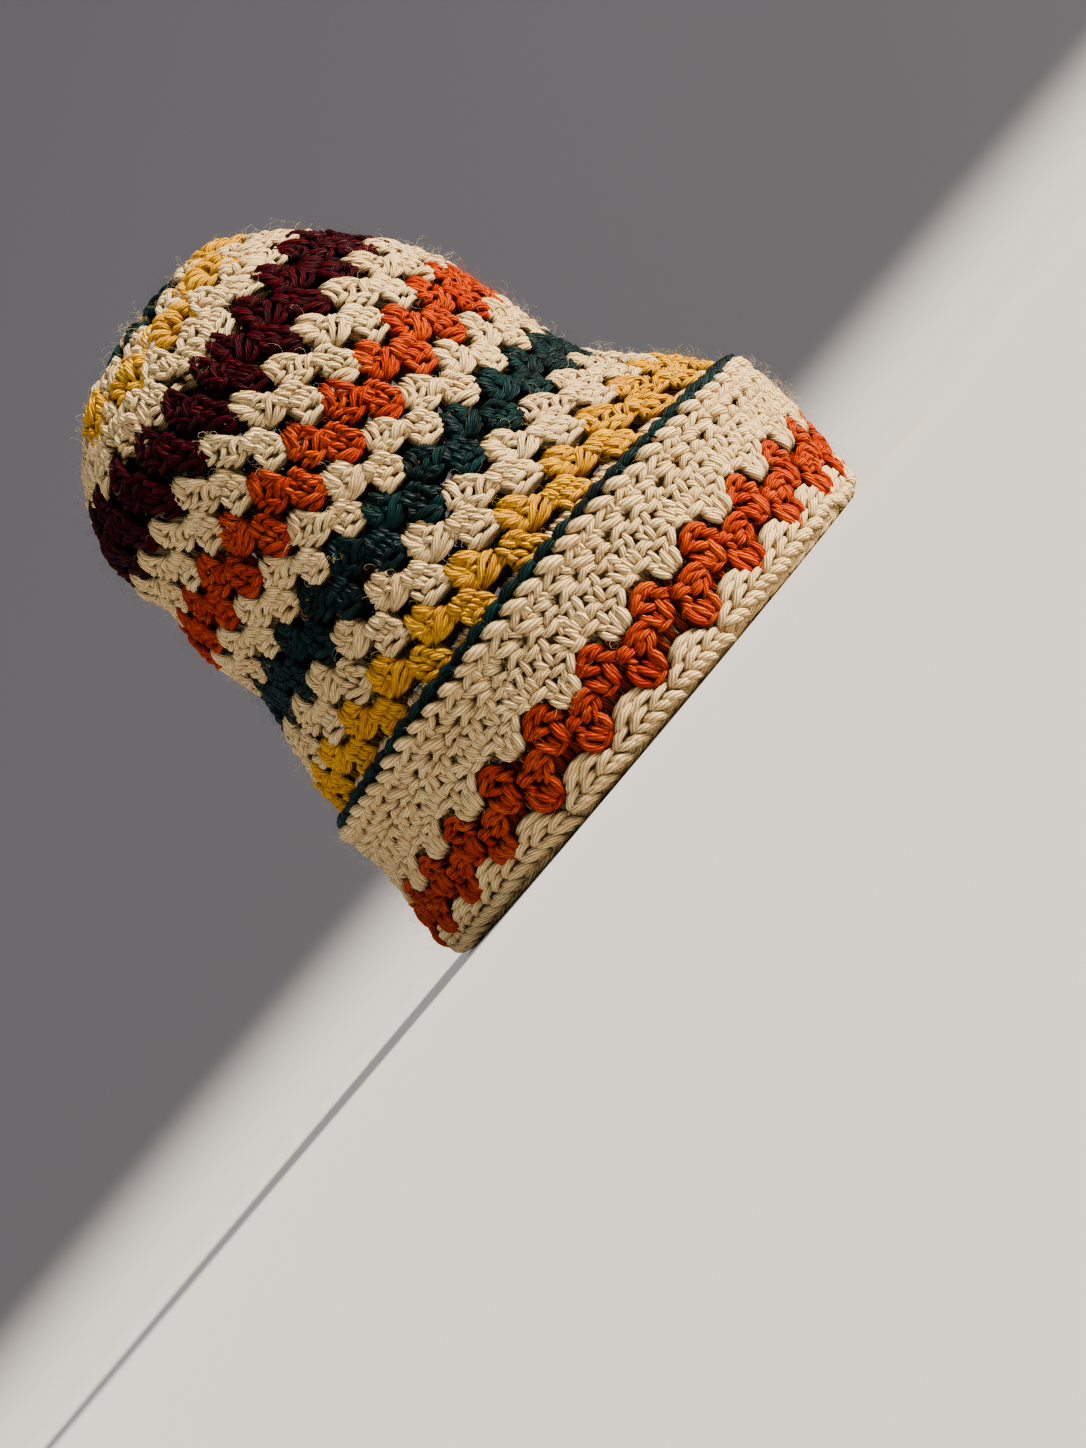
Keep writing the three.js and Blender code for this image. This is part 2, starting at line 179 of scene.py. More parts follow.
# The same, leaning over to the right.
TOWER_2 = [
    (2.2, -0.3, (16.4, 143.8), (15.9, 141), (14.6, 138.6), (13.4, 137.2)),
    (2.3, 0.2, (18.2, 143.8), (18.2, 140.8), (17.4, 138.4), (16.4, 136.2)),
    (2.1, 0.0, (20.0, 144.0), (19.8, 141), (18.8, 138.2)),
    (1.9, -0.4, (21.6, 143.6), (22.0, 141), (21.4, 138.6)),
    (2.2, -0.1, (22.2, 143.6), (22.9, 140.4), (23.6, 138.0)),
    (2.5, 0.3, (22.7, 143.0), (24.0, 139.8), (25.4, 137.2), (26.6, 135.2)),
    (2.1, 0.0, (19.8, 138.8), (22.2, 138.2), (24.8, 137.0)),
    (2.2, 0.1, (12.8, 136.8), (15.4, 136.3), (18.4, 136.8)),
    (2.2, 0.1, (16.6, 134.6), (19.4, 134.8), (21.8, 136.2)),
    (2.0, -0.4, (20.4, 136.6), (22.6, 136.4), (25.0, 135.8)),
    (2.3, -0.2, (13.4, 134.6), (15.6, 134.2), (18.0, 133.0)),
    (2.5, 0.1, (17.2, 133.8), (19.2, 131.6), (21.4, 129.6)),
    (2.5, 0.4, (19.6, 130.8), (22.4, 133.2), (25.2, 134.4), (28.2, 133.6)),
    (2.2, 0.2, (22.4, 130.4), (26, 131.8), (30.6, 132.4)),
    (2.2, -0.2, (14.2, 131.6), (16.4, 131.6), (18.8, 130.4)),
    (2.3, -0.3, (15.8, 129.2), (20.6, 128.6), (24.4, 129.8)),
    (2.0, -0.8, (24.0, 131.0), (26.6, 130), (29.6, 129.6)),
    (1.9, -1.2, (23.6, 128.8), (27.0, 128.4), (30.4, 129.2)),
]

# A cluster in a colour's second round: short stitches, wrapped and bunched together.
POPCORN = [
    (2.4, 0.0, (-10.8, 101.6), (-11.4, 99), (-10.2, 96.0)),
    (2.4, 0.3, (-9.0, 101.8), (-9.3, 99.2), (-8.7, 96.4)),
    (2.4, 0.1, (-7.0, 101.8), (-6.6, 99.2), (-5.6, 96.2)),
    (2.2, 0.1, (-5.9, 101.6), (-5.1, 99.2), (-4.2, 96.0)),
    (2.4, 0.3, (-4.9, 101.4), (-3.6, 99), (-2.7, 96.2)),
    (2.6, 0.1, (-2.7, 101.6), (-1.5, 99), (-0.4, 96.0)),
    (2.6, 0.2, (-11.9, 94.6), (-11.4, 92), (-11.3, 89.8)),
    (2.0, -0.2, (-10.6, 96.6), (-9.4, 94.6), (-8.2, 92.8)),
    (2.2, 0.2, (-8.0, 96.8), (-7.8, 94.4), (-7.2, 92.2)),
    (2.6, 0.4, (-10.2, 91.6), (-7.0, 91.8), (-3.8, 91.2)),
    (2.2, 0.0, (-6.2, 96.6), (-5.4, 94.2), (-5.0, 92.0)),
    (2.2, 0.2, (-3.8, 96.8), (-2.8, 94.2), (-2.2, 92.2)),
    (2.5, 0.0, (-1.2, 96.4), (-0.1, 94), (1.0, 91.8)),
    (2.2, -0.2, (-4.4, 92.2), (-2.0, 91.4), (1.0, 91.6)),
    (2.1, 0.0, (-4.6, 90.2), (-2.0, 90.2), (0.9, 89.6)),
    (2.1, -0.1, (-3.4, 88.2), (-1.2, 88.8), (1.2, 87.8)),
    (2.6, 0.1, (-14.2, 89.2), (-11.0, 88.8), (-7.6, 89.4)),
    (2.5, 0.3, (-13.8, 86.8), (-7.4, 87.3), (-1.4, 86.8)),
    (2.0, -0.9, (-1.0, 87.4), (3.0, 87.4), (7.6, 88.6)),
    (1.9, -1.3, (-1.6, 85.6), (3.0, 85.6), (8.0, 86.6)),
]

# The same, with a long loop across its lower left.
POPCORN_2 = [
    (2.6, 0.2, (8.2, 136.2), (8.5, 133.8), (9.0, 131.6)),
    (2.3, 0.0, (10.4, 136.4), (11.1, 134.2), (11.8, 131.6)),
    (2.4, 0.2, (12.6, 134.6), (14.8, 135.2), (17.0, 133.0)),
    (2.2, -0.1, (12.2, 136.6), (13.6, 135.8), (15.4, 136.0)),
    (2.4, 0.3, (14.0, 133.4), (15.8, 131.8), (16.9, 129.8)),
    (2.1, -0.3, (12.4, 133.4), (13.2, 131.6), (13.2, 129.6)),
    (2.6, 0.0, (5.6, 129.4), (7.0, 130.6), (7.7, 128.0)),
    (2.4, 0.2, (8.4, 131.4), (10, 129.6), (11.2, 127.2)),
    (2.0, 0.1, (12.6, 131.2), (12.8, 129.4), (13.3, 127.6)),
    (2.4, 0.3, (14.5, 130.2), (15.9, 128.8), (17.4, 126.8)),
    (2.1, -0.1, (16.8, 130.6), (18.2, 128.2), (18.9, 126.0)),
    (2.6, 0.4, (5.0, 127.6), (8.6, 126.4), (11.6, 124.8), (14.6, 123.0)),
    (2.3, -0.1, (6.2, 124.8), (8.8, 122.8), (11.4, 122.2), (14.0, 122.8)),
    (1.9, -0.1, (12.2, 126.8), (15.0, 126.0), (17.6, 126.4)),
    (2.1, 0.2, (12.6, 124.8), (15.4, 124.4), (18.0, 125.2)),
    (1.8, -0.3, (13.8, 123.4), (16.2, 123.2), (18.2, 124.2)),
    (2.0, -0.9, (17.6, 125.4), (21.0, 124.8), (24.8, 125.6)),
    (1.9, -1.3, (17.2, 123.4), (21.0, 123.2), (25.4, 124.0)),
]

# A wide cluster of the crown, in which the yarn fans out from the top and closes below.
FAN = [
    (2.3, -0.2, (-41.8, 223.6), (-40.4, 227.5), (-37.0, 229.9), (-32.5, 229.5)),
    (2.6, 0.6, (-41.2, 222.5), (-38.7, 225.6), (-36.1, 227.8), (-32.0, 228.4)),
    (2.6, 0.2, (-32.5, 229.2), (-29.1, 228.2), (-25.7, 226.7)),
    (2.8, 0.6, (-26.0, 226.9), (-23.4, 224.2), (-20.9, 221.0)),
    (2.6, 1.0, (-26.2, 224.2), (-23.7, 221.9), (-21.7, 219.6)),
    (2.4, 1.5, (-34.8, 226.6), (-32.0, 224.2), (-31.4, 221.3)),
    (2.5, 1.4, (-31.4, 227.5), (-29.9, 224.7), (-30.2, 221.9)),
    (2.5, 1.6, (-28.8, 226.9), (-27.9, 223.3), (-28.3, 219.6)),
    (2.4, 1.3, (-26.8, 226.4), (-26.5, 223.9), (-26.7, 220.8)),
    (3.2, 1.2, (-38.7, 224.2), (-35.3, 223.6), (-32.2, 220.5)),
    (2.6, 0.9, (-38.9, 221.9), (-35.6, 220.8), (-32.7, 219.1)),
    (2.4, 0.2, (-37.4, 219.4), (-34.2, 218.5), (-31.5, 217.9)),
    (2.9, 0.8, (-31.6, 220.4), (-29.4, 218.1), (-26.8, 216.8)),
    (2.4, 0.6, (-26.6, 216.8), (-24.6, 218.1), (-21.7, 218.5)),
    (2.5, 0.0, (-31.2, 217.8), (-28.4, 215.4), (-26.3, 213.6)),
    (2.5, 0.0, (-21.7, 217.7), (-23.7, 216.0), (-26.5, 213.6)),
    (2.2, 0.0, (-41.8, 225.4), (-41.4, 222.7), (-40.6, 219.8)),
    (2.0, -0.4, (-40.4, 222.2), (-39.2, 220.5), (-38.2, 218.6)),
    (2.4, 0.2, (-29.2, 217.4), (-26.4, 216.2), (-23.2, 217.2)),
    (2.4, 0.4, (-25.4, 221.6), (-24.6, 219.8), (-22.6, 218.9)),
]

# A round cluster of the crown's cream.
KNOT = [
    (2.7, 0.2, (-26.3, 211.5), (-24.6, 214.6), (-21.6, 217.0)),
    (2.4, 0.4, (-21.6, 218.3), (-20.8, 216.3), (-20.2, 214.4)),
    (2.4, 0.6, (-19.2, 218.8), (-18.7, 216.8), (-18.2, 214.4)),
    (2.5, 0.3, (-16.8, 218.6), (-15.5, 216.3), (-13.6, 213.5)),
    (2.3, 0.7, (-21.0, 213.5), (-18.4, 214.0), (-15.7, 215.1)),
    (2.9, 0.6, (-23.6, 213.1), (-20.9, 210.9), (-19.5, 208.1)),
    (2.1, 0.5, (-18.9, 212.6), (-18.1, 209.6), (-18.4, 206.7)),
    (2.4, 0.8, (-16.5, 213.0), (-16.9, 209.6), (-17.9, 206.7)),
    (2.5, 0.6, (-14.8, 213.0), (-14.7, 209.8), (-15.7, 207.0)),
    (2.2, 0.0, (-13.6, 213.4), (-13.1, 211.0), (-13.5, 208.2)),
    (2.2, 0.2, (-19.4, 206.3), (-16.7, 205.9), (-13.8, 207.5)),
    (2.5, 0.1, (-26.3, 211.2), (-24.3, 210.6), (-21.8, 209.3)),
    (2.2, 0.0, (-25.7, 209.4), (-24.8, 207.2), (-22.8, 206.2)),
    (2.5, 0.2, (-22.9, 209.1), (-21.3, 207.6), (-19.6, 206.0)),
]

# How each cluster was seen: where its middle and its top lie, how much wider and lower the leaning cloth
# looks there, and what a strand's thickness is divided by to give its radius.
View = namedtuple("View", "middle top across down thickness")
TOWER_VIEW = View(-20.3, 110.8, 1.231, -0.975, 2.5)
TOWER_2_VIEW = View(20.3, 144.2, 1.133, -0.977, 2.4)
POPCORN_VIEW = View(-6.2, 101.8, 1.32, -0.975, 2.4)
POPCORN_2_VIEW = View(12.2, 136.8, 1.2, -0.909, 2.35)
FAN_VIEW = View(-31.3, 230.6, 1.0, -0.6, 2.1)
KNOT_VIEW = View(-19.9, 219.6, 1.08, -0.69, 2.1)

# The back of a cluster, inside the hat.
CLUSTER_BACK = [
    Strand(1.8, -4.5, [(-2.9, 0.8), (-3.7, 7.0), (-4.6, 14.2)]),
    Strand(1.8, -4.6, [(0.2, 0.6), (0.1, 7.0), (0.1, 15.0)]),
    Strand(1.8, -4.5, [(3.1, 0.8), (3.9, 7.0), (4.8, 13.8)]),
    Strand(1.7, -4.4, [(-8.6, 13.0), (0.0, 14.6), (10.4, 12.4)]),
]

# A cluster where the brim hides it, in fewer strands.
HIDDEN_CLUSTER = [
    Strand(1.5, -1.6, [(-3.4, 0.6), (-4.2, 4.0), (-5.4, 9.4)]),
    Strand(1.5, -1.5, [(-1.1, 0.4), (-1.3, 4.0), (-1.8, 10.2)]),
    Strand(1.5, -1.5, [(1.3, 0.4), (1.5, 4.0), (2.0, 10.2)]),
    Strand(1.5, -1.6, [(3.6, 0.6), (4.4, 4.0), (5.6, 9.4)]),
    Strand(1.5, -1.6, [(-6.6, 9.8), (-3.2, 11.6), (0.2, 12.6)]),
    Strand(1.5, -1.6, [(0.2, 11.0), (3.6, 10.6), (7.0, 10.0)]),
    Strand(1.6, -1.9, [(-8.4, 13.0), (-2.0, 15.0), (9.4, 12.4)]),
    Strand(1.6, -2.3, [(-6.0, 15.4), (1.0, 16.2), (11.6, 14.4)]),
]

# The brim, in which y is the height above the floor. The orange cluster at the rim:
BRIM_LOWER = [
    (2.3, 0.1, (-5.8, 23.6), (-3.0, 24.6), (-0.2, 23.6)),
    (2.4, 0.3, (-1.6, 24.8), (3.8, 26.3), (8.6, 25.0), (10.6, 22.8)),
    (2.1, 0.0, (-1.0, 23.6), (4.0, 24.4), (9.2, 23.2)),
    (2.8, 0.3, (-5.0, 22.6), (-2.2, 22.2), (0.8, 21.2)),
    (2.3, 0.2, (2.0, 22.4), (6.0, 22.5), (10.2, 21.0)),
    (2.2, 0.1, (-3.4, 21.4), (-2.4, 19.8), (-1.4, 18.0)),
    (2.2, 0.2, (0.2, 20.8), (3.0, 20.6), (6.2, 21.0)),
    (2.1, 0.0, (0.6, 19.0), (3.2, 18.8), (5.4, 19.6)),
    (2.9, 0.3, (-4.8, 19.0), (-5.2, 15.0), (-4.0, 11.6), (-1.8, 8.8)),
    (2.0, 0.3, (-4.2, 19.4), (-3.5, 17.2), (-2.6, 15.0)),
    (2.7, 0.5, (-2.6, 17.8), (-0.6, 13.2), (1.8, 8.8)),
    (2.1, 0.1, (0.6, 16.6), (2.0, 12.8), (3.4, 8.9)),
    (2.7, 0.4, (4.6, 17.2), (5.7, 13.2), (4.8, 8.9)),
    (2.0, -0.3, (3.0, 15.6), (3.6, 12.6), (4.2, 9.6)),
    (1.8, 0.4, (6.4, 20.0), (5.0, 17.8), (3.2, 15.8)),
    (1.8, 0.3, (7.8, 20.6), (6.4, 18.2), (4.4, 15.8)),
    (1.8, 0.1, (9.4, 20.6), (8.4, 18.6), (7.2, 16.8)),
    (2.4, -0.5, (-2.6, 9.0), (1.4, 8.3), (5.2, 9.2)),
]

# The orange cluster of the round above it.
BRIM_UPPER = [
    (2.5, 0.2, (-18.4, 34.2), (-13.6, 35.4), (-9.4, 33.8), (-6.8, 31.2)),
    (2.6, 0.3, (-19.8, 31.2), (-16.8, 32.8), (-13.2, 33.6)),
    (2.5, 0.1, (-14.4, 31.4), (-10.6, 32.6), (-6.6, 31.8)),
    (2.0, 0.0, (-20.0, 30.4), (-17.0, 30.1), (-13.4, 31.0)),
    (3.0, 0.3, (-17.2, 29.6), (-14.2, 28.4), (-11.2, 26.2)),
    (2.6, 0.2, (-10.6, 30.8), (-7.8, 29.2), (-4.2, 27.6)),
    (2.2, -0.2, (-9.6, 28.4), (-7.2, 27.4), (-5.4, 25.4)),
    (2.6, 0.4, (-18.4, 27.8), (-16.6, 23.8), (-14.0, 19.2)),
    (2.2, 0.0, (-16.4, 26.4), (-15.2, 23.0), (-12.8, 19.4)),
    (2.2, -0.1, (-13.8, 25.4), (-12.8, 22.4), (-12.2, 19.6)),
    (2.9, 0.4, (-9.5, 27.6), (-10.2, 23.4), (-9.4, 18.4)),
    (2.1, -0.1, (-8.0, 26.0), (-7.8, 22.4), (-7.5, 19.2)),
    (2.2, -0.5, (-15.8, 19.6), (-12.6, 18.6), (-8.6, 18.8)),
]

# The close cream rounds, three stitches for each cluster that hangs from them.
CLOSE_ROUNDS = [
    (3.8, 0.6, (-16.2, 65.9), (-12.4, 64.6), (-7.2, 62.4)),
    (3.9, 0.6, (-6.0, 66.0), (-1.8, 64.6), (3.0, 61.8)),
    (3.8, 0.6, (3.8, 66.0), (7.8, 64.5), (12.4, 61.6)),
    (2.8, 0.1, (-13.4, 59.4), (-10.6, 61.2), (-7.4, 62.6)),
    (2.8, 0.2, (-10.2, 59.0), (-5.4, 61.2), (-0.8, 62.8)),
    (2.0, 0.2, (1.0, 62.8), (0.5, 60.8), (0.0, 58.6)),
    (2.4, -0.3, (-2.6, 59.8), (-0.8, 60.6), (0.6, 62.4)),
    (2.8, 0.2, (1.6, 59.4), (5.2, 61.3), (8.6, 62.8)),
    (2.2, 0.2, (10.0, 62.6), (9.7, 60.4), (9.6, 58.2)),
    (2.6, -0.2, (6.8, 59.0), (8.4, 60.6), (9.6, 62.4)),
    (2.6, 0.0, (10.4, 60.0), (12.6, 61.2), (14.4, 62.6)),
    (2.4, 0.0, (-14.2, 59.4), (-12.5, 57.6), (-11.2, 55.8)),
    (2.2, 0.1, (-11.2, 59.6), (-10.3, 57.8), (-9.4, 56.0)),
    (3.2, 0.4, (-9.4, 58.4), (-5.4, 56.2), (-0.6, 54.4)),
    (2.4, 0.0, (-4.4, 59.0), (-2.4, 57.0), (-0.2, 56.0)),
    (2.2, 0.1, (-0.6, 59.4), (0.8, 57.8), (1.8, 56.0)),
    (3.6, 0.5, (1.2, 58.6), (5.4, 56.3), (10.4, 53.4)),
    (2.4, -0.2, (2.8, 55.4), (5.8, 53.6), (8.8, 51.8)),
    (2.2, 0.0, (6.6, 58.4), (9.0, 57.2), (10.8, 55.6)),
    (2.8, 0.1, (10.6, 58.6), (13.4, 56.6), (16.0, 55.0)),
    (2.8, 0.3, (-15.8, 51.2), (-14.2, 52.8), (-10.8, 51.2)),
    (3.0, 0.4, (-10.0, 50.6), (-5.4, 53.3), (-0.8, 51.4)),
    (2.2, -0.3, (-6.0, 51.6), (-2.6, 51.4), (0.8, 52.6)),
    (2.7, 0.4, (0.4, 50.8), (4.4, 53.2), (8.6, 50.6)),
    (2.8, 0.3, (9.4, 51.2), (12.6, 53.4), (15.6, 51.6)),
    (2.5, 0.2, (-12.4, 49.9), (-9.4, 50.0), (-6.2, 48.4)),
    (3.0, 0.3, (-4.4, 50.4), (-0.4, 49.3), (3.4, 50.0)),
    (2.8, 0.3, (5.6, 50.2), (9.2, 49.2), (12.8, 50.2)),
    (2.6, 0.2, (-15.4, 50.0), (-14.2, 47.4), (-12.8, 44.6)),
    (2.6, 0.1, (-8.0, 49.2), (-9.6, 47.0), (-11.2, 44.8)),
    (2.7, 0.3, (-5.2, 50.8), (-5.5, 47.8), (-6.6, 44.8)),
    (2.2, 0.0, (1.8, 48.4), (0.2, 47.0), (-0.8, 45.6)),
    (2.8, 0.3, (4.7, 50.6), (4.3, 48.2), (3.0, 45.8)),
    (2.2, 0.0, (12.2, 49.0), (11.0, 47.6), (10.2, 45.8)),
    (2.4, 0.1, (13.2, 50.4), (14.2, 47.8), (13.6, 45.4)),
    (2.6, 0.2, (-15.6, 45.8), (-14.3, 42.8), (-12.9, 40.0)),
    (2.4, 0.0, (-11.8, 45.8), (-12.0, 42.8), (-11.4, 39.8)),
    (2.1, 0.1, (-10.5, 45.6), (-9.6, 43.0), (-9.8, 40.2)),
    (2.6, 0.2, (-8.4, 46.2), (-7.5, 43.0), (-8.0, 40.2)),
    (2.4, 0.1, (-7.2, 43.6), (-4.0, 43.0), (-0.2, 43.4)),
    (2.5, 0.3, (-7.0, 40.4), (-3.5, 42.0), (0.0, 40.4)),
    (2.3, 0.1, (-2.6, 46.8), (-1.3, 44.6), (-0.6, 42.0)),
    (2.7, 0.2, (2.2, 47.0), (1.6, 44.2), (1.0, 41.0)),
    (3.0, 0.3, (2.8, 46.0), (6.0, 44.2), (8.4, 42.2)),
    (3.0, 0.2, (2.4, 41.4), (5.6, 41.5), (8.8, 39.6)),
    (2.6, 0.3, (8.4, 46.2), (9.8, 42.8), (11.8, 38.6)),
    (2.8, 0.1, (12.4, 46.0), (12.7, 42.8), (13.8, 39.6)),
    (2.6, 0.1, (-16.4, 41.6), (-14.2, 39.2), (-12.2, 36.6)),
    (3.2, 0.3, (-13.2, 39.0), (-8.8, 38.4), (-3.6, 37.2)),
    (3.2, 0.2, (9.6, 39.4), (12.0, 38.8), (15.4, 39.2)),
    (2.7, 0.3, (-3.4, 40.0), (-3.0, 37.4), (-2.6, 34.2)),
    (2.7, 0.2, (-1.8, 39.4), (1.6, 39.1), (5.0, 38.0)),
    (2.2, 0.1, (4.0, 39.0), (2.6, 36.6), (0.8, 34.4)),
    (3.0, 0.2, (8.6, 39.4), (6.4, 37.2), (4.6, 34.4)),
    (2.6, 0.0, (-7.0, 36.8), (-5.6, 35.4), (-4.4, 34.0)),
    (2.2, -0.1, (1.2, 36.6), (-0.4, 35.4), (-1.6, 34.6)),
    (2.7, 0.3, (-6.8, 34.8), (-5.4, 31.8), (-3.0, 28.8)),
    (2.3, 0.2, (-4.0, 35.0), (-2.7, 32), (-0.8, 28.9)),
    (2.4, 0.3, (0.2, 36.4), (-0.5, 33), (0.0, 28.9)),
    (2.0, -0.2, (1.5, 35.4), (1.2, 32), (1.3, 29.0)),
    (2.6, 0.4, (3.2, 36.0), (3.4, 32.4), (2.7, 29.0)),
    (2.0, -0.2, (4.6, 34), (4.5, 31.6), (3.9, 29.2)),
]

# The brim's clusters count up from just under the floor, because the brim is seen from close by.
LOWER_VIEW = View(0.8, -4.03, 1.127, 1.174, 2.25)
UPPER_VIEW = View(-13.0, -4.03, 1.127, 1.174, 2.25)
CLOSE_VIEW = View(-1.2, -4.03, 1.127, 1.174, 2.25)


def stitch_of(seen, view):
    """The strands of a cluster in its own millimetres, worked out from how they were seen."""
    strands = []
    for thick, out, *points in seen:
        places = [((x - view.middle) / view.across, (z - view.top) / view.down) for x, z in points]
        strands.append(Strand(thick / view.thickness, out, places))
    return strands


def side_by_side(radius, out, places, heights):
    """Straight, upright strands, one at each place."""
    return [Strand(radius, out, [(x, y) for y in heights]) for x in places]


# The backs of the brim's clusters and of its close rounds.
BRIM_BACK = [
    Strand(1.9, -4.4, [(-6.0, 18.0), (0.0, 20.0), (6.2, 18.0)]),
    *side_by_side(1.9, -4.4, (-4.0, 0.0, 4.0), (8.0, 19.0, 31.0)),
    *side_by_side(1.9, -4.4, (8.2, -8.2, 12.2), (12.0, 22.0, 31.0)),
]
CLOSE_BACK = side_by_side(2.0, -4.3, np.linspace(-10.8, 10.8, 8), (33.5, 46.0, 59.0))

# One stitch of the dark round along the brim's top edge.
EDGE_STITCH = [
    Strand(1.5, -1.2, [(-5.4, 60.7), (0.0, 62.3), (5.4, 60.9)]),
    Strand(1.5, -2.6, [(-4.2, 61.3), (0.6, 61.7), (6.0, 61.2)]),
    Strand(1.5, -4.4, [(-4.0, 61.0), (0.9, 61.4), (5.4, 61.0)]),
    Strand(1.2, -0.4, [(-5.3, 61.4), (-5.0, 59.6), (-3.9, 57.2)]),
]

# The cream cloth at the rim, in rounds that show between and below the orange clusters.
RIM_ROUNDS = [
    Strand(1.5, -0.3, [(-8.2, 9.6), (-3.0, 12.0), (2.6, 11.2)]),
    Strand(1.5, -0.2, [(-2.4, 9.4), (3.0, 11.4), (8.0, 10.0)]),
    Strand(1.4, -0.9, [(-6.6, 13.2), (0.0, 14.2), (6.6, 13.0)]),
    Strand(1.4, -0.3, [(-12.6, 6.4), (-8.6, 8.8), (-4.2, 8.9)]),
    Strand(1.4, -0.2, [(-5.2, 6.4), (-1.0, 8.6), (3.4, 8.4)]),
    Strand(1.4, -0.3, [(2.6, 6.2), (7.0, 8.4), (11.8, 8.0)]),
    Strand(1.35, 0.0, [(-12.0, 6.6), (-8.6, 4.8), (-5.2, 2.8)]),
    Strand(1.35, 0.0, [(-8.4, 6.0), (-5.6, 4.6), (-3.4, 2.2)]),
    Strand(1.35, 0.0, [(-4.2, 6.4), (-1.0, 4.8), (2.4, 2.8)]),
    Strand(1.35, 0.0, [(-0.4, 6.0), (2.4, 4.6), (4.6, 2.2)]),
    Strand(1.35, 0.0, [(4.0, 6.4), (7.2, 4.8), (10.6, 2.8)]),
    Strand(1.35, 0.0, [(7.8, 6.0), (10.6, 4.6), (12.8, 2.2)]),
    *side_by_side(1.9, -4.4, (-8.2, -4.1, 0.0, 4.1, 8.2, 12.2), (5.0, 9.0, 13.0)),
]

# What a strand of each kind is modelled with: sides, rings, how far its ends tuck in and how its thickness
# runs along it.
Kind = namedtuple("Kind", "sides rings tuck taper")
KINDS = {
    "short": Kind(5, 5, 1.9, (0.6, 1.0, 1.1, 1.0, 0.55)),
    "long": Kind(6, 7, 1.9, (0.6, 0.97, 1.05, 1.1, 1.05, 0.97, 0.55)),
    "back": Kind(5, 4, 0.4, (0.8, 1.0, 1.0, 0.8)),
    "fibre": Kind(3, 8, 0, (1.0, 0.95, 0.9, 0.85, 0.8, 0.7, 0.5, 0.3)),
}
# A strand deeper than this is at the cloth's back, where its colour gets an even painted shade.
BACK_FACE = -4.2
# How much fuller the strands are than they look between the shadows beside them, and how far each end runs
# on.
FULLNESS = 1.2
END_MM = 0.7


def kind_of(strand):
    """The kind of strand that a table's row is modelled with."""
    if strand.out < BACK_FACE:
        return "back"
    return "long" if len(strand.points) > 3 else "short"


def linear(hex_colour):
    """An sRGB hex colour as linear red, green and blue."""
    channels = [int(hex_colour[i : i + 2], 16) / 255 for i in (1, 3, 5)]
    return tuple(c / 12.92 if c <= 0.04045 else ((c + 0.055) / 1.055) ** 2.4 for c in channels)


class BeanieYarn(bpy.types.PropertyGroup):
    """The yarns the hat is crocheted in."""

    cream: bpy.props.FloatVectorProperty(
        name="Cream", description="Undyed wool blend", subtype="COLOR", default=linear("#EEC888")
    )
    orange: bpy.props.FloatVectorProperty(
        name="Orange", description="Burnt orange yarn", subtype="COLOR", default=linear("#A62600")
    )
    teal: bpy.props.FloatVectorProperty(
        name="Teal", description="Dark teal yarn", subtype="COLOR", default=linear("#031314")
    )
    mustard: bpy.props.FloatVectorProperty(
        name="Mustard", description="Mustard yellow yarn", subtype="COLOR", default=linear("#DE9400")
    )
    burgundy: bpy.props.FloatVectorProperty(
        name="Burgundy", description="Wine red, a little lustrous", subtype="COLOR", default=linear("#240006")
    )
    fibres: bpy.props.IntProperty(
        name="Fibres", description="Loose fibres on each cluster's face", default=8, min=0
    )
    fibre_length: bpy.props.FloatProperty(
        name="Fibre length", description="How far a loose fibre stands off", default=6.0 * MM, unit="LENGTH"
    )
    unevenness: bpy.props.FloatProperty(
        name="Unevenness", description="How far stitches stray", default=0.4 * MM, unit="LENGTH"
    )


class BeanieStage(bpy.types.PropertyGroup):
    """The camera, the lights and the pale studio."""

    distance: bpy.props.FloatProperty(
        name="Distance", description="From the camera to the hat's middle", default=0.825, unit="LENGTH"
    )
    height: bpy.props.FloatProperty(
        name="Picture height", description="How much it shows at the hat", default=0.507, unit="LENGTH"
    )
    roll: bpy.props.FloatProperty(
        name="Roll", description="How far the hat leans", default=math.radians(50), unit="ROTATION"
    )
    tilt: bpy.props.FloatProperty(
        name="Elevation", description="How far it looks down", default=math.radians(-1.2), unit="ROTATION"
    )
    backdrop: bpy.props.FloatVectorProperty(
        name="Floor", description="Matt paper on the floor", subtype="COLOR", default=linear("#DEDCD8")
    )
    wall: bpy.props.FloatVectorProperty(
        name="Wall", description="Matt paper behind the hat", subtype="COLOR", default=linear("#383943")
    )


def read_rows(rows, at):
    """A table's row at any place between its rows, by a cubic whose slopes come from the rows beside it."""
    rows = np.asarray(rows, float)
    keys = rows[:, 0]
    last = len(rows) - 1
    i = np.clip(np.searchsorted(keys, at) - 1, 0, last - 1)
    before = np.maximum(i - 1, 0)
    after = np.minimum(i + 2, last)
    width = (keys[i + 1] - keys[i])[..., None]
    t = (at - keys[i])[..., None] / width
    rise = rows[i + 1] - rows[i]
    slope_here = (rows[i + 1] - rows[before]) / (keys[i + 1] - keys[before])[..., None]
    slope_next = (rows[after] - rows[i]) / (keys[after] - keys[i])[..., None]
    bend = (1 - t) * (slope_here * width - rise) + t * (rise - slope_next * width)
    return rows[i] + t * rise + t * (1 - t) * bend


def on_loop(row, angle):
    """A point of an oval loop, whose front, back and sides lie at heights of their own."""
    front, front_z, back, back_z, half, side_z = (row[..., n] for n in range(1, 7))
    along = np.cos(angle)
    end_z = np.where(along > 0, front_z, back_z)
    x = (front + back) / 2 + FRONT_SHIFT + (front - back) / 2 * along
    return np.stack([x, half * np.sin(angle), side_z + (end_z - side_z) * along**2], axis=-1)


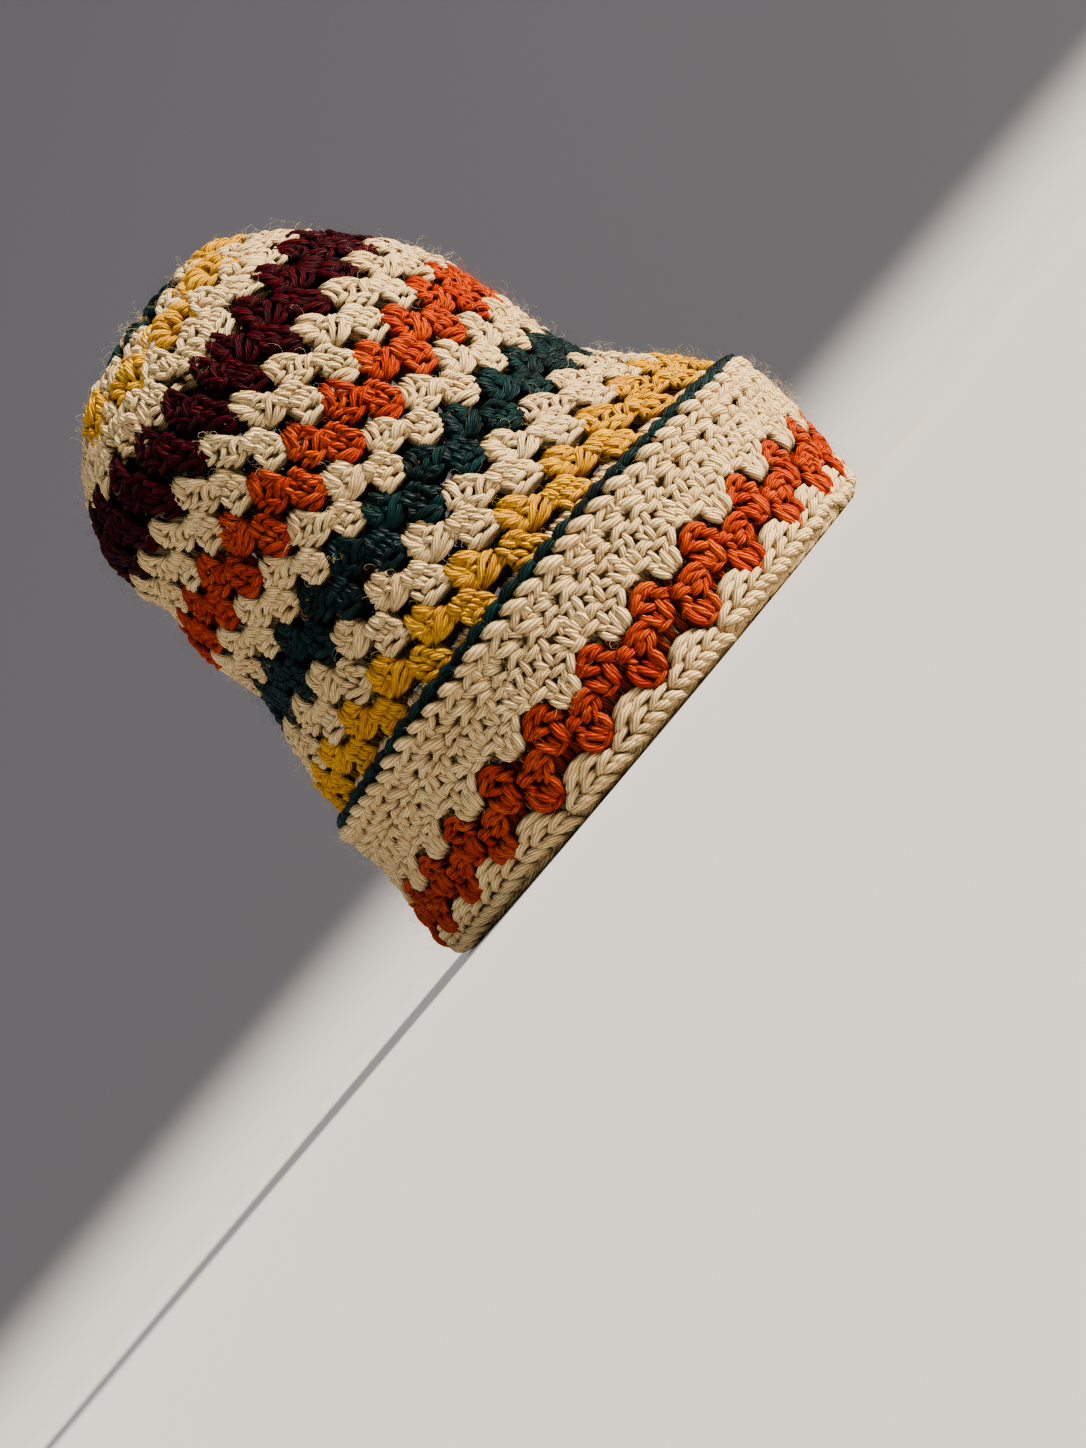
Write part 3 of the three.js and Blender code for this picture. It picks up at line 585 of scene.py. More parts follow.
def full_rows():
    """Both tables with all their columns, and the hat's with its rows inside the brim."""
    brim = [(h, front, h, back, h, half, h * (1 + BRIM_LIFT)) for h, front, back, half in BRIM_ROWS]
    inset = WALL + LAYER_GAP
    hidden = []
    for count in HIDDEN_ROWS:
        drop = (count - LAST_SHOWN_ROUND) / (LAST_ROUND - LAST_SHOWN_ROUND)
        level = BRIM_HEIGHT + (FOLD_TOP - BRIM_HEIGHT) * drop
        _, front, _, back, _, half, _ = read_rows(brim, np.array(level))
        side = FOLD_TOP + (level - FOLD_TOP) * (1 + BRIM_LIFT)
        hidden.append((count, front - inset, level, back + inset, level, half - inset, side))
    return HAT_ROWS + hidden, brim


ALL_HAT_ROWS, ALL_BRIM_ROWS = full_rows()
# The hat's face is read no nearer to the crown's centre than this level, because it has no direction there.
CENTRE_LEVEL = 0.06
# Trimming draws in the front, the back and the sides, and leaves the heights.
TRIMMED_COLUMNS = np.array([0, 1, 0, -1, 0, 1, 0])


def hat_face(level, angle):
    """The hat's face. A level is a number of rounds below the crown's centre."""
    return on_loop(read_rows(ALL_HAT_ROWS, np.maximum(level, CENTRE_LEVEL)), angle)


def brim_face(level, angle):
    """The brim's face. A level is a height above the floor."""
    return on_loop(read_rows(ALL_BRIM_ROWS, level) - BRIM_TRIM * TRIMMED_COLUMNS, angle)


# A face of the cloth, the small change of level that leads down it, and whether it stands upright, so that
# the direction out of it is kept level.
Cloth = namedtuple("Cloth", "face down upright")
HAT = Cloth(hat_face, 0.05, False)
BRIM = Cloth(brim_face, -0.5, True)
# The small turn that leads along a face.
SMALL_TURN = 0.01


def lowered(cloth, depth):
    """The same cloth, lying some millimetres lower."""
    return cloth._replace(face=lambda level, angle: cloth.face(level, angle) - (0, 0, depth))


def outward(cloth, level, angle):
    """The directions out of a face."""
    level = np.maximum(level, CENTRE_LEVEL + cloth.down)
    along = cloth.face(level, angle + SMALL_TURN) - cloth.face(level, angle - SMALL_TURN)
    down = cloth.face(level + cloth.down, angle) - cloth.face(level - cloth.down, angle)
    out = np.cross(down, along)
    if cloth.upright:
        out[..., 2] = 0
    return out / np.linalg.norm(out, axis=-1, keepdims=True)


def round_speed(cloth, level, angle):
    """How many millimetres of the face pass for each radian round the hat."""
    step = cloth.face(level, angle + SMALL_TURN) - cloth.face(level, angle - SMALL_TURN)
    return np.linalg.norm(step, axis=-1) / (2 * SMALL_TURN)


def smooth_path(points, count):
    """A Catmull-Rom curve through a strand's points, a little longer at both ends, read at count places."""
    points = np.array(points, float)
    for end, beside in ((0, 1), (-1, -2)):
        ahead = points[end] - points[beside]
        points[end] += ahead / np.linalg.norm(ahead) * END_MM
    last = len(points) - 1
    at = np.linspace(0, last, count)
    i = np.minimum(at.astype(int), last - 1)
    t = (at - i)[:, None]
    padded = np.vstack([2 * points[0] - points[1], points, 2 * points[-1] - points[-2]])
    a, b, c, d = (padded[i + n] for n in range(4))
    return b + t / 2 * (c - a + t * (2 * a - 5 * b + 4 * c - d + t * (3 * (b - c) + d - a)))


def model_strand(kind):
    """A straight length of yarn, modelled once and then copied along every path: (ring, side, up) of each
    vertex, the faces' corners and sizes, and how far round the strand each corner lies."""
    sides, rings, _, _ = KINDS[kind]
    bpy.ops.object.select_all(action="DESELECT")
    bpy.ops.mesh.primitive_cylinder_add(vertices=sides, radius=1, depth=rings - 1, location=(0, 0, 0))
    bpy.ops.object.mode_set(mode="EDIT")
    for ring in range(1, rings - 1):
        bpy.ops.mesh.select_all(action="SELECT")
        bpy.ops.mesh.bisect(plane_co=(0, 0, ring - (rings - 1) / 2), plane_no=(0, 0, 1))
    bpy.ops.object.mode_set(mode="OBJECT")
    model = bpy.context.active_object
    mesh = model.data
    places = np.array([v.co for v in mesh.vertices])
    ring_of = np.rint(places[:, 2] + (rings - 1) / 2).astype(int)
    corners = np.array([v for face in mesh.polygons for v in face.vertices])
    sizes = np.array([len(face.vertices) for face in mesh.polygons])
    turn = np.arctan2(places[:, 1], places[:, 0]) / TURN % 1
    around = turn[corners]
    # The side face that closes the circle ends at one full turn, and not back at none.
    start = 0
    for size in sizes:
        face = around[start : start + size]
        if size == 4 and face.max() - face.min() > 0.5:
            face[face < 0.5] += 1
        start += size
    bpy.data.objects.remove(model)
    bpy.data.meshes.remove(mesh)
    return ring_of, places[:, :2], corners, sizes, around


# Strands laid on a face: their kind, and for each its path, the direction out of the face, and its radius.
Laid = namedtuple("Laid", "kind paths out radius")

# How stitches differ from each other: by their lean, their size and, as a share of the unevenness, how far
# they stand out. Then how their strands do: by place and depth, as shares of it, and by thickness.
LEAN_SPREAD = 0.035
SIZE_SPREAD = 0.03
STAND_OUT_SHARE = 0.6
STRAND_SHARE = 0.45
STRAND_DEPTH_SHARE = 0.4
THICKNESS_SPREAD = 0.05
# How suddenly a strand's ends tuck in, and the limits within which it grows thinner in a narrow stitch.
TUCK_POWER = 2.5
THIN_TO_THICK = (0.7, 1.1)


def lay_round(cloth, level_of, centres, stitches, span, rng, stray):
    """Lays one of the stitches, picked by chance, at each centre of a round."""
    gaps = (np.roll(centres, -1) - centres) % TURN
    pick = rng.integers(0, len(stitches), len(centres))
    laid = []
    for number, stitch in enumerate(stitches):
        chosen = pick == number
        if chosen.any():
            laid += lay_stitch(cloth, level_of, centres[chosen], gaps[chosen], stitch, span, rng, stray)
    return laid


def lay_stitch(cloth, level_of, centres, gaps, stitch, span, rng, stray):
    """Lays one stitch at several centres. level_of turns its y into a level of the cloth."""
    count = len(centres)
    middle = np.mean([y for strand in stitch for _, y in strand.points])
    speed = round_speed(cloth, level_of(np.full(count, middle), centres), centres)[:, None, None]
    pitch = gaps[:, None, None] * speed
    near = np.clip(pitch / span.pitch, NARROWEST, WIDEST)
    core = span.core
    link = (pitch - 2 * core * near) / (span.pitch - 2 * core)
    place = rng.normal(0, stray, (3, count, 1, 1))
    lean = rng.normal(0, LEAN_SPREAD, (count, 1, 1))
    grow = rng.normal(1, SIZE_SPREAD, (count, 1, 1))
    laid = []
    for kind, shape in KINDS.items():
        strands = [strand for strand in stitch if kind_of(strand) == kind]
        if not strands:
            continue
        # The strands as written, a little uneven.
        flat = np.array([smooth_path(strand.points, shape.rings) for strand in strands])
        flat = flat + rng.normal(0, stray * STRAND_SHARE, (count, len(strands), 1, 2))
        x, y = flat[..., 0], flat[..., 1] - middle
        x, y = (x - y * lean) * grow + place[0], (y + x * lean) * grow + place[1] + middle
        tuck = shape.tuck * np.abs(np.linspace(-1, 1, shape.rings)) ** TUCK_POWER
        z = np.array([strand.out for strand in strands])[:, None] - tuck + place[2] * STAND_OUT_SHARE
        z = z + rng.normal(0, stray * STRAND_DEPTH_SHARE, (count, len(strands), 1))
        # Their places on the cloth.
        stretched = np.where(x < core, x * near, core * near + (x - core) * link)
        angle = centres[:, None, None] + stretched / speed
        level = level_of(y, angle)
        out = outward(cloth, level, angle)
        paths = cloth.face(level, angle) + out * z[..., None]
        thin = np.sqrt(np.clip(near[..., 0], *THIN_TO_THICK))
        radius = np.array([strand.radius for strand in strands]) * thin
        radius = radius * rng.normal(1, THICKNESS_SPREAD, (count, len(strands)))
        radius = radius * (1 if kind == "back" else FULLNESS)
        rings = shape.rings
        laid.append(Laid(kind, paths.reshape(-1, rings, 3), out.reshape(-1, rings, 3), radius.reshape(-1)))
    return laid


# A loose fibre, as shares of the fibres' length: how high it stands, how much it leans and how wide it curls.
# Then how many radians it coils and bends over by, and its radius.
FIBRE_HEIGHT = (0.35, 1.0)
FIBRE_LEAN = 0.45
FIBRE_CURL = (0.08, 0.3)
FIBRE_COIL = (3.0, 7.5)
FIBRE_BEND = 1.8
FIBRE_RADIUS = (0.02, 0.034)


def loose_fibres(laid, count, length, rng):
    """Fine fibres that stand off the strands: each starts inside a strand, leans out and curls."""
    fronts = [group for group in laid if group.kind != "back"]
    if not fronts or not count:
        return []
    starts = np.concatenate([group.paths[:, 1:-1].reshape(-1, 3) for group in fronts])
    out = np.concatenate([group.out[:, 1:-1].reshape(-1, 3) for group in fronts])
    pick = rng.integers(0, len(starts), count)
    starts, out = starts[pick], out[pick]
    side = np.cross(out, rng.normal(0, 1, (count, 3)))
    side /= np.linalg.norm(side, axis=-1, keepdims=True)
    other = np.cross(out, side)
    height = length * rng.uniform(*FIBRE_HEIGHT, count)
    lean = length * rng.normal(0, FIBRE_LEAN, count)
    curl = length * rng.uniform(*FIBRE_CURL, count)
    coil = rng.uniform(*FIBRE_COIL, count)
    phase = rng.uniform(0, TURN, count)
    steps = []
    for t in np.linspace(0, 1, KINDS["fibre"].rings):
        rise = height * np.sin(t * FIBRE_BEND)
        along = lean * t + curl * (np.cos(phase + coil * t) - np.cos(phase))
        across = curl * (np.sin(phase + coil * t) - np.sin(phase))
        steps.append(starts + out * rise[:, None] + side * along[:, None] + other * across[:, None])
    paths = np.stack(steps, axis=1)
    out = np.repeat(out[:, None], KINDS["fibre"].rings, axis=1)
    return [Laid("fibre", paths, out, rng.uniform(*FIBRE_RADIUS, count))]


# The models of the kinds that have been needed so far.
TEMPLATES = {}
# The width of a ply across the strand, and the run of yarn in which the plies twist on by one. The real
# plies are about half as wide, too fine to show, so they are drawn coarser.
PLY_MM = 1.05
FEWEST_PLIES = 5
MOST_PLIES = 9
PLY_STEP_MM = 4.0
# Each strand is cut from a random place of this much yarn.
YARN_MM = 50
# A little of another direction, so that a strand that runs straight out of the face has a side too.
NUDGE = 0.05
# The lowest strands lie flat, just above the floor, in metres.
FLOOR_GAP = 0.02 * MM
# Painted shade, which darkens the yarn's colour where little light comes: how dark the yarn is painted deep
# in the cloth, and how much darker where a strand's ends tuck in and down its flanks, below the crest that
# faces outwards.
DEEP_PAINTED_SHADE = 0.4
END_PAINTED_SHADE = 0.45
FLANK_PAINTED_SHADE = 0.88
CREST = 0.75
# Loose fibres have no plies. Their tint gives them the yarn's lightest colour, and the factor that paints
# shade on the strands darkens them evenly.
FIBRE_UV = (0.0, 0.5)
FIBRE_TINT = 3.0
FIBRE_SHADE = 0.6


# Many strands as one mesh: the places of its vertices, the vertex at each corner of its faces, how many
# corners each face has, the uv of each corner, and each vertex's tint and painted shade.
Yarn = namedtuple("Yarn", "vertices corners sizes uv tint shade")


def yarn_of(laid, rng):
    """A group's strands, each a copy of its kind's model, bent along its path."""
    if laid.kind not in TEMPLATES:
        TEMPLATES[laid.kind] = model_strand(laid.kind)
    ring_of, ends, corners, sizes, around = TEMPLATES[laid.kind]
    paths = laid.paths
    count, rings = paths.shape[:2]
    taper = np.array(KINDS[laid.kind].taper)
    plies = np.clip(np.rint(TURN * laid.radius / PLY_MM), FEWEST_PLIES, MOST_PLIES)[:, None]
    # Two directions across the strand at each ring, which follow its path without twisting.
    ahead = np.gradient(paths, axis=1)
    ahead /= np.linalg.norm(ahead, axis=-1, keepdims=True)
    sides = np.zeros_like(paths)
    start = laid.out[:, 0] + NUDGE * np.roll(laid.out[:, 0], 1, axis=-1)
    side = np.cross(ahead[:, 0], start)
    for ring in range(rings):
        side = side - np.sum(side * ahead[:, ring], axis=-1, keepdims=True) * ahead[:, ring]
        side /= np.linalg.norm(side, axis=-1, keepdims=True)
        sides[:, ring] = side
    ups = np.cross(ahead, sides)
    thick = laid.radius[:, None, None] * taper[ring_of][None, :, None]
    offset = sides[:, ring_of] * ends[None, :, :1] + ups[:, ring_of] * ends[None, :, 1:]
    vertices = paths[:, ring_of] + thick * offset
    run = np.linalg.norm(np.diff(paths, axis=1), axis=-1).cumsum(axis=1)
    run = np.concatenate([np.zeros((count, 1)), run], axis=1) + rng.uniform(0, YARN_MM, (count, 1))
    uv = np.stack([run[:, ring_of[corners]], around * plies], axis=-1)
    corners = corners[None] + len(ring_of) * np.arange(count)[:, None]
    tint = np.repeat(rng.uniform(0, 1, count), len(ring_of))
    # Painted shade: darker towards the strand's ends and down the flanks that turn away from the outside.
    along = np.abs(2 * ring_of / (rings - 1) - 1)
    facing = np.sum(offset * laid.out[:, ring_of], axis=-1)
    flank = np.clip((CREST - facing) / (2 * CREST), 0, 1)
    shade = (1 - END_PAINTED_SHADE * along**2) * (1 - FLANK_PAINTED_SHADE * flank)
    # Strands at the cloth's back are painted evenly dark, as shade deep inside the cloth.
    if laid.kind == "back":
        shade[:] = DEEP_PAINTED_SHADE
    if laid.kind == "fibre":
        shade[:] = FIBRE_SHADE
        tint[:] = FIBRE_TINT
        uv[:] = FIBRE_UV
    sizes = np.tile(sizes, count)
    return Yarn(vertices.reshape(-1, 3), corners.ravel(), sizes, uv.reshape(-1, 2), tint, shade.ravel())


def join_yarn(parts):
    """Several groups of strands as one mesh."""
    before = np.cumsum([0] + [len(part.vertices) for part in parts])
    parts = [part._replace(corners=part.corners + start) for part, start in zip(parts, before)]
    return Yarn(*(np.concatenate(columns) for columns in zip(*parts)))


def mesh_of(name, yarn, places):
    """The yarn's mesh, with its vertices at these places in metres."""
    mesh = bpy.data.meshes.new(name)
    mesh.vertices.add(len(places))
    mesh.vertices.foreach_set("co", places.astype(np.float32).ravel())
    mesh.loops.add(len(yarn.corners))
    mesh.loops.foreach_set("vertex_index", yarn.corners.astype(np.int32))
    mesh.polygons.add(len(yarn.sizes))
    mesh.polygons.foreach_set("loop_start", (np.cumsum(yarn.sizes) - yarn.sizes).astype(np.int32))
    uv_map = mesh.uv_layers.new(name="strand")
    uv_map.data.foreach_set("uv", yarn.uv.astype(np.float32).ravel())
    # Each vertex keeps its tint and its painted shade, for the material to read.
    for key, values in (("tint", yarn.tint), ("shade", yarn.shade)):
        attribute = mesh.attributes.new(key, "FLOAT", "POINT")
        attribute.data.foreach_set("value", values.astype(np.float32))
    mesh.shade_smooth()
    mesh.update()
    if mesh.validate():
        raise RuntimeError(f"{name}: its strands don't join into a sound mesh")
    return mesh


def yarn_piece(name, nodes, slot, laid, seed, floor=False):
    """Joins all strands of one ring into one piece that stands for its solid. On the floor, none goes through
    it."""
    rng = np.random.default_rng(seed)
    yarn = join_yarn([yarn_of(group, rng) for group in laid])
    places = yarn.vertices * MM
    if floor:
        places[:, 2] = np.maximum(places[:, 2], FLOOR_GAP)
    mesh = mesh_of(name, yarn, places)
    piece = bpy.data.objects.new(name, mesh)
    bpy.context.scene.collection.objects.link(piece)
    mesh.materials.append(yarn_material(slot))
    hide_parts(*nodes)
    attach(piece, "root")
    return piece


def add_node(tree, kind, settings=None, links=None):
    """Adds a node, sets its values and sockets, and links its inputs."""
    node = tree.nodes.new(kind)
    for key, value in (settings or {}).items():
        if isinstance(key, int) or key in node.inputs:
            node.inputs[key].default_value = value
        else:
            setattr(node, key, value)
    for key, source in (links or {}).items():
        tree.links.new(source, node.inputs[key])
    return node


# How each yarn looks: how much painted shade darkens it between its plies, the colours of its darkest and
# lightest tones, how rough it is, how strongly it glints and how downy it is.
Look = namedtuple("Look", "groove shade light roughness glint down")
LOOKS = {
    "cream_yarn": Look(0.5, "#CA9C6A", "#FFEAB0", 0.85, 0.08, 0.02),
    "orange_yarn": Look(0.4, "#701000", "#F06E00", 0.75, 0.0, 0.0),
    "teal_yarn": Look(0.3, "#010506", "#084A48", 0.5, 0.08, 0.0),
    "mustard_yarn": Look(0.5, "#8E4E00", "#FFD800", 0.75, 0.02, 0.0),
    "burgundy_yarn": Look(0.3, "#0A0001", "#680014", 0.55, 0.04, 0.0),
}

# A ply's roundness: the lower the power, the narrower the groove beside it. The painted shade in the groove
# is darkest up to the first of these shares of a ply's height, and gone at the second.
PLY_POWER = 0.55
GROOVE = (0.2, 0.7)
# Streaks of fibre for each millimetre along the yarn and across a ply, and the width of a light or dark
# patch.
STREAKS_PER_MM = 0.525
STREAKS_PER_PLY = 4.5
PATCH_MM = 16.67
# How much each strand's own tint and the patches add to the streaks' tone, and how high streaks stand beside
# the plies' full height of RELIEF_MM.
TINT_SHARE = 0.12
PATCH_SHARE = 0.2
STREAK_RELIEF = 0.3
RELIEF_MM = 0.6
# The tones that have the yarn's darkest, own and lightest colour.
DARK_TONE = 0.4
OWN_TONE = 0.64
LIGHT_TONE = 0.95
DOWN_ROUGHNESS = 0.4


def plies_and_streaks(tree):
    """The height of the plies across the yarn, and the tone of the streaks of fibre along them."""
    uv = add_node(tree, "ShaderNodeUVMap", {"uv_map": "strand"})
    split = add_node(tree, "ShaderNodeSeparateXYZ", links={0: uv.outputs[0]})
    run, around = split.outputs[0], split.outputs[1]
    # The plies' places round the strand, which move on as the yarn runs.
    twist = {"operation": "MULTIPLY_ADD", 1: 1 / PLY_STEP_MM}
    plies = add_node(tree, "ShaderNodeMath", twist, {0: run, 2: around})
    saw = add_node(tree, "ShaderNodeMath", {"operation": "PINGPONG", 1: 0.5}, {0: plies.outputs[0]})
    # Each ply is round on top, with a narrow groove beside it.
    crest = add_node(tree, "ShaderNodeMath", {"operation": "MULTIPLY", 1: 2.0}, {0: saw.outputs[0]})
    ply = add_node(tree, "ShaderNodeMath", {"operation": "POWER", 1: PLY_POWER}, {0: crest.outputs[0]})
    # Fibres run along each ply: the noise is drawn out along the yarn.
    grain = add_node(tree, "ShaderNodeCombineXYZ", links={"X": run, "Y": plies.outputs[0]})
    drawn_out = {"Scale": (STREAKS_PER_MM, STREAKS_PER_PLY, 1)}
    drawn = add_node(tree, "ShaderNodeMapping", drawn_out, {"Vector": grain.outputs[0]})
    fine = {"Scale": 1.0, "Detail": 3, "Roughness": 0.65}
    streaks = add_node(tree, "ShaderNodeTexNoise", fine, {"Vector": drawn.outputs[0]})
    return ply.outputs[0], streaks.outputs[0]


def tones_of(tree, streaks):
    """The tone of the streaks, changed by broad patches and by each strand's own tint."""
    coords = add_node(tree, "ShaderNodeTexCoord")
    broad = {"Scale": 1 / (PATCH_MM * MM), "Detail": 2}
    patches = add_node(tree, "ShaderNodeTexNoise", broad, {"Vector": coords.outputs["Object"]})
    tint = add_node(tree, "ShaderNodeAttribute", {"attribute_name": "tint"})
    tones = streaks
    for share, source in ((TINT_SHARE, tint.outputs["Fac"]), (PATCH_SHARE, patches.outputs[0])):
        adding = {"operation": "MULTIPLY_ADD", 1: share}
        tones = add_node(tree, "ShaderNodeMath", adding, {0: source, 2: tones}).outputs[0]
    return tones


def yarn_material(slot):
    """Worsted wool-blend yarn, spun and plied. The eye sees fine plies twisted together, with painted shade
    between the plies, streaks of fibre and hardly any shine."""
    name = f"plied_wool_{slot}"
    if name in bpy.data.materials:
        return bpy.data.materials[name]
    look = LOOKS[slot]
    base = tuple(getattr(bpy.context.scene.beanie_yarn, slot.split("_")[0])) + (1,)
    material = bpy.data.materials.new(name)
    material.use_nodes = True
    tree = material.node_tree
    tree.nodes.clear()
    ply, streaks = plies_and_streaks(tree)
    ramp = add_node(tree, "ShaderNodeValToRGB", links={0: tones_of(tree, streaks)})
    stops = ramp.color_ramp.elements
    stops[0].position, stops[0].color = DARK_TONE, linear(look.shade) + (1,)
    stops[1].position, stops[1].color = LIGHT_TONE, linear(look.light) + (1,)
    stops.new(OWN_TONE).color = base
    darkening = {1: GROOVE[0], 2: GROOVE[1], 3: look.groove, 4: 1.0}
    groove = add_node(tree, "ShaderNodeMapRange", darkening, {0: ply})
    # Painted shade where little light comes: in the grooves between plies, and where the strands lie deep,
    # tuck under each other and turn their flanks away.
    painted_shade_factor = add_node(tree, "ShaderNodeAttribute", {"attribute_name": "shade"})
    both = {0: groove.outputs[0], 1: painted_shade_factor.outputs["Fac"]}
    shadow = add_node(tree, "ShaderNodeMath", {"operation": "MULTIPLY"}, both)
    shaded = {0: ramp.outputs[0], "Scale": shadow.outputs[0]}
    colour = add_node(tree, "ShaderNodeVectorMath", {"operation": "SCALE"}, shaded)
    raised = {"operation": "MULTIPLY_ADD", 1: STREAK_RELIEF}
    height = add_node(tree, "ShaderNodeMath", raised, {0: streaks, 2: ply})
    relief = {"Strength": 1.0, "Distance": RELIEF_MM * MM}
    bump = add_node(tree, "ShaderNodeBump", relief, {"Height": height.outputs[0]})
    finish = {
        "Roughness": look.roughness,
        "Specular IOR Level": look.glint,
        "Sheen Weight": look.down,
        "Sheen Roughness": DOWN_ROUGHNESS,
        "Sheen Tint": linear(look.light) + (1,),
    }
    surface = {"Base Color": colour.outputs[0], "Normal": bump.outputs[0]}
    shader = add_node(tree, "ShaderNodeBsdfPrincipled", finish, surface)
    add_node(tree, "ShaderNodeOutputMaterial", links={"Surface": shader.outputs[0]})
    return material


def even_centres(count, phase):
    """Evenly spaced angles. The phase is the first one's place, as a share of the way to the next."""
    return (np.arange(count) + phase) / count * TURN


def round_centres():
    """The angles of the clusters in every round. A cluster goes into a gap of the round above, and where a
    round has more clusters, some gaps take two."""
    rounds = {number: even_centres(ring.count, ring.first) for number, ring in CROWN.items()}
    for number in range(max(CROWN) + 1, LAST_ROUND + 1):
        above = rounds[number - 1]
        spans = (np.roll(above, -1) - above) % TURN
        gaps = above + spans / 2
        extra = CLUSTERS - len(gaps)
        doubled = np.floor(np.arange(extra) * len(gaps) / max(extra, 1)).astype(int)
        single = np.setdiff1d(np.arange(len(gaps)), doubled)
        aside = spans[doubled] * SHARED_GAP
        places = [gaps[single], gaps[doubled] - aside, gaps[doubled] + aside]
        found = np.sort(np.concatenate(places) % TURN)
        even = even_centres(CLUSTERS, DOWN_PHASE if number % 2 else UP_PHASE)
        strays = [(np.roll(even, shift) - found + math.pi) % TURN - math.pi for shift in range(CLUSTERS)]
        least = min(strays, key=lambda stray: np.abs(stray).sum())
        rounds[number] = np.sort((found + EASING * least) % TURN)
    return rounds


ROUND_CENTRES = round_centres()


def clusters_of(number):
    """The clusters that a round is worked in, and the distances for which they were written."""
    if number > LAST_SHOWN_ROUND:
        return [HIDDEN_CLUSTER], BODY_SPAN
    if number == WIDE_ROUND:
        seen, span = [(FAN, FAN_VIEW)], FAN_SPAN
    elif number in (WIDE_ROUND - 1, WIDE_ROUND + 2):
        seen, span = [(KNOT, KNOT_VIEW)], KNOT_SPAN
    elif number % 2:
        seen, span = [(POPCORN, POPCORN_VIEW), (POPCORN_2, POPCORN_2_VIEW)], BODY_SPAN
    else:
        seen, span = [(TOWER, TOWER_VIEW), (TOWER_2, TOWER_2_VIEW)], BODY_SPAN
    return [stitch_of(*cluster) + CLUSTER_BACK for cluster in seen], span


# A cluster has about twenty strands. A small one has fewer fibres.
FIBRE_SHARE = 1 / 20


def crochet_rounds(name, node, slot, first, last, seed):
    """Works the rounds first to last in one yarn, as one piece. A colour begins in an even round."""
    yarn = bpy.context.scene.beanie_yarn
    rng = np.random.default_rng(seed)
    laid = []
    numbers = [number for number in range(first, last + 1) if number in ROUND_CENTRES]
    for number in numbers:
        ring = CROWN.get(number, PLAIN_ROUND)
        top = number - OVERLAP_ROUNDS + ring.drop

        def level_of(y, angle, top=top, reach=ring.reach):
            return top - reach * np.cos(CROWN[WIDE_ROUND].count * angle) + y / ROUND_MM

        stitches, span = clusters_of(number)
        cloth = lowered(HAT, ring.sink)
        laid += lay_round(cloth, level_of, ROUND_CENTRES[number], stitches, span, rng, yarn.unevenness / MM)
    if first <= LAST_SHOWN_ROUND:
        strands = sum(len(group.paths) for group in laid if group.kind != "back")
        laid += loose_fibres(laid, round(strands * FIBRE_SHARE * yarn.fibres), yarn.fibre_length / MM, rng)
    return yarn_piece(name, [node], slot, laid, seed + 1)


# The rings of the crown and of the body: piece, node, yarn, first round, last round.
CROWN_RINGS = [
    ("crown_centre_stitches", "crown_centre_cream", "cream_yarn", 1, 1),
    ("crown_teal_stitches", "crown_ring_teal", "teal_yarn", 2, 2),
    ("crown_cream_stitches", "crown_ring_cream", "cream_yarn", 3, 3),
    ("crown_mustard_stitches", "crown_ring_mustard", "mustard_yarn", 4, 5),
]
BODY_RINGS = [
    ("body_1_cream_stitches", "ring_1_cream", "cream_yarn", 6, 7),
    ("body_2_burgundy_stitches", "ring_2_burgundy", "burgundy_yarn", 8, 9),
    ("body_3_cream_stitches", "ring_3_cream", "cream_yarn", 10, 11),
    ("body_4_orange_stitches", "ring_4_orange", "orange_yarn", 12, 13),
    ("body_5_cream_stitches", "ring_5_cream", "cream_yarn", 14, 15),
    ("body_6_teal_stitches", "ring_6_teal", "teal_yarn", 16, 17),
    ("body_7_cream_stitches", "ring_7_cream", "cream_yarn", 18, 19),
    ("body_8_mustard_stitches", "ring_8_mustard", "mustard_yarn", 20, 21),
]


class BEANIE_OT_crown(bpy.types.Operator):
    """Crochet the crown's rounds, which grow from the centre"""

    bl_idname = "beanie.crown"
    bl_label = "Crown"

    def execute(self, context):
        for number, ring in enumerate(CROWN_RINGS):
            crochet_rounds(*ring, seed=100 + 10 * number)
        return {"FINISHED"}


class BEANIE_OT_body(bpy.types.Operator):
    """Crochet the slouchy body's eight colour rings"""

    bl_idname = "beanie.body"
    bl_label = "Body"

    def execute(self, context):
        for number, ring in enumerate(BODY_RINGS):
            crochet_rounds(*ring, seed=200 + 10 * number)
        return {"FINISHED"}


class BEANIE_OT_inner_layer(bpy.types.Operator):
    """Crochet the layer that the turned-up brim hides"""

    bl_idname = "beanie.inner_layer"
    bl_label = "Inner layer"

    def execute(self, context):
        first = LAST_SHOWN_ROUND + 1
        ring = ("inner_layer_stitches", "inner_layer_cream", "cream_yarn", first, LAST_ROUND)
        crochet_rounds(*ring, seed=300)
        return {"FINISHED"}


# The orange rounds lie lower at the hat's front and back, where the cloth below them is pulled under.
ORANGE_DROP = 4.0
ORANGE_FADE = (16.0, 36.0)


def brim_level(y, angle):
    """The height at which a strand written at y lies on the brim."""
    start, end = ORANGE_FADE
    return y - ORANGE_DROP * np.cos(angle) ** 2 * np.clip((end - y) / (end - start), 0, 1)


def crochet_brim(name, node, slot, rounds, seed, fibres, strays=1.0, down=1.0):
    """Works rounds of the brim in one yarn, as one piece. Each round has its centres, its stitch and the
    distances for which that was written. fibres, strays and down are multiples of the yarn's number of
    fibres, its unevenness and its fibres' length."""
    yarn = bpy.context.scene.beanie_yarn
    rng = np.random.default_rng(seed)
    laid = []
    for centres, stitch, span in rounds:
        laid += lay_round(BRIM, brim_level, centres, [stitch], span, rng, yarn.unevenness / MM * strays)
    laid += loose_fibres(laid, fibres * CLUSTERS * yarn.fibres, yarn.fibre_length / MM * down, rng)
    return yarn_piece(name, [node], slot, laid, seed + 1)


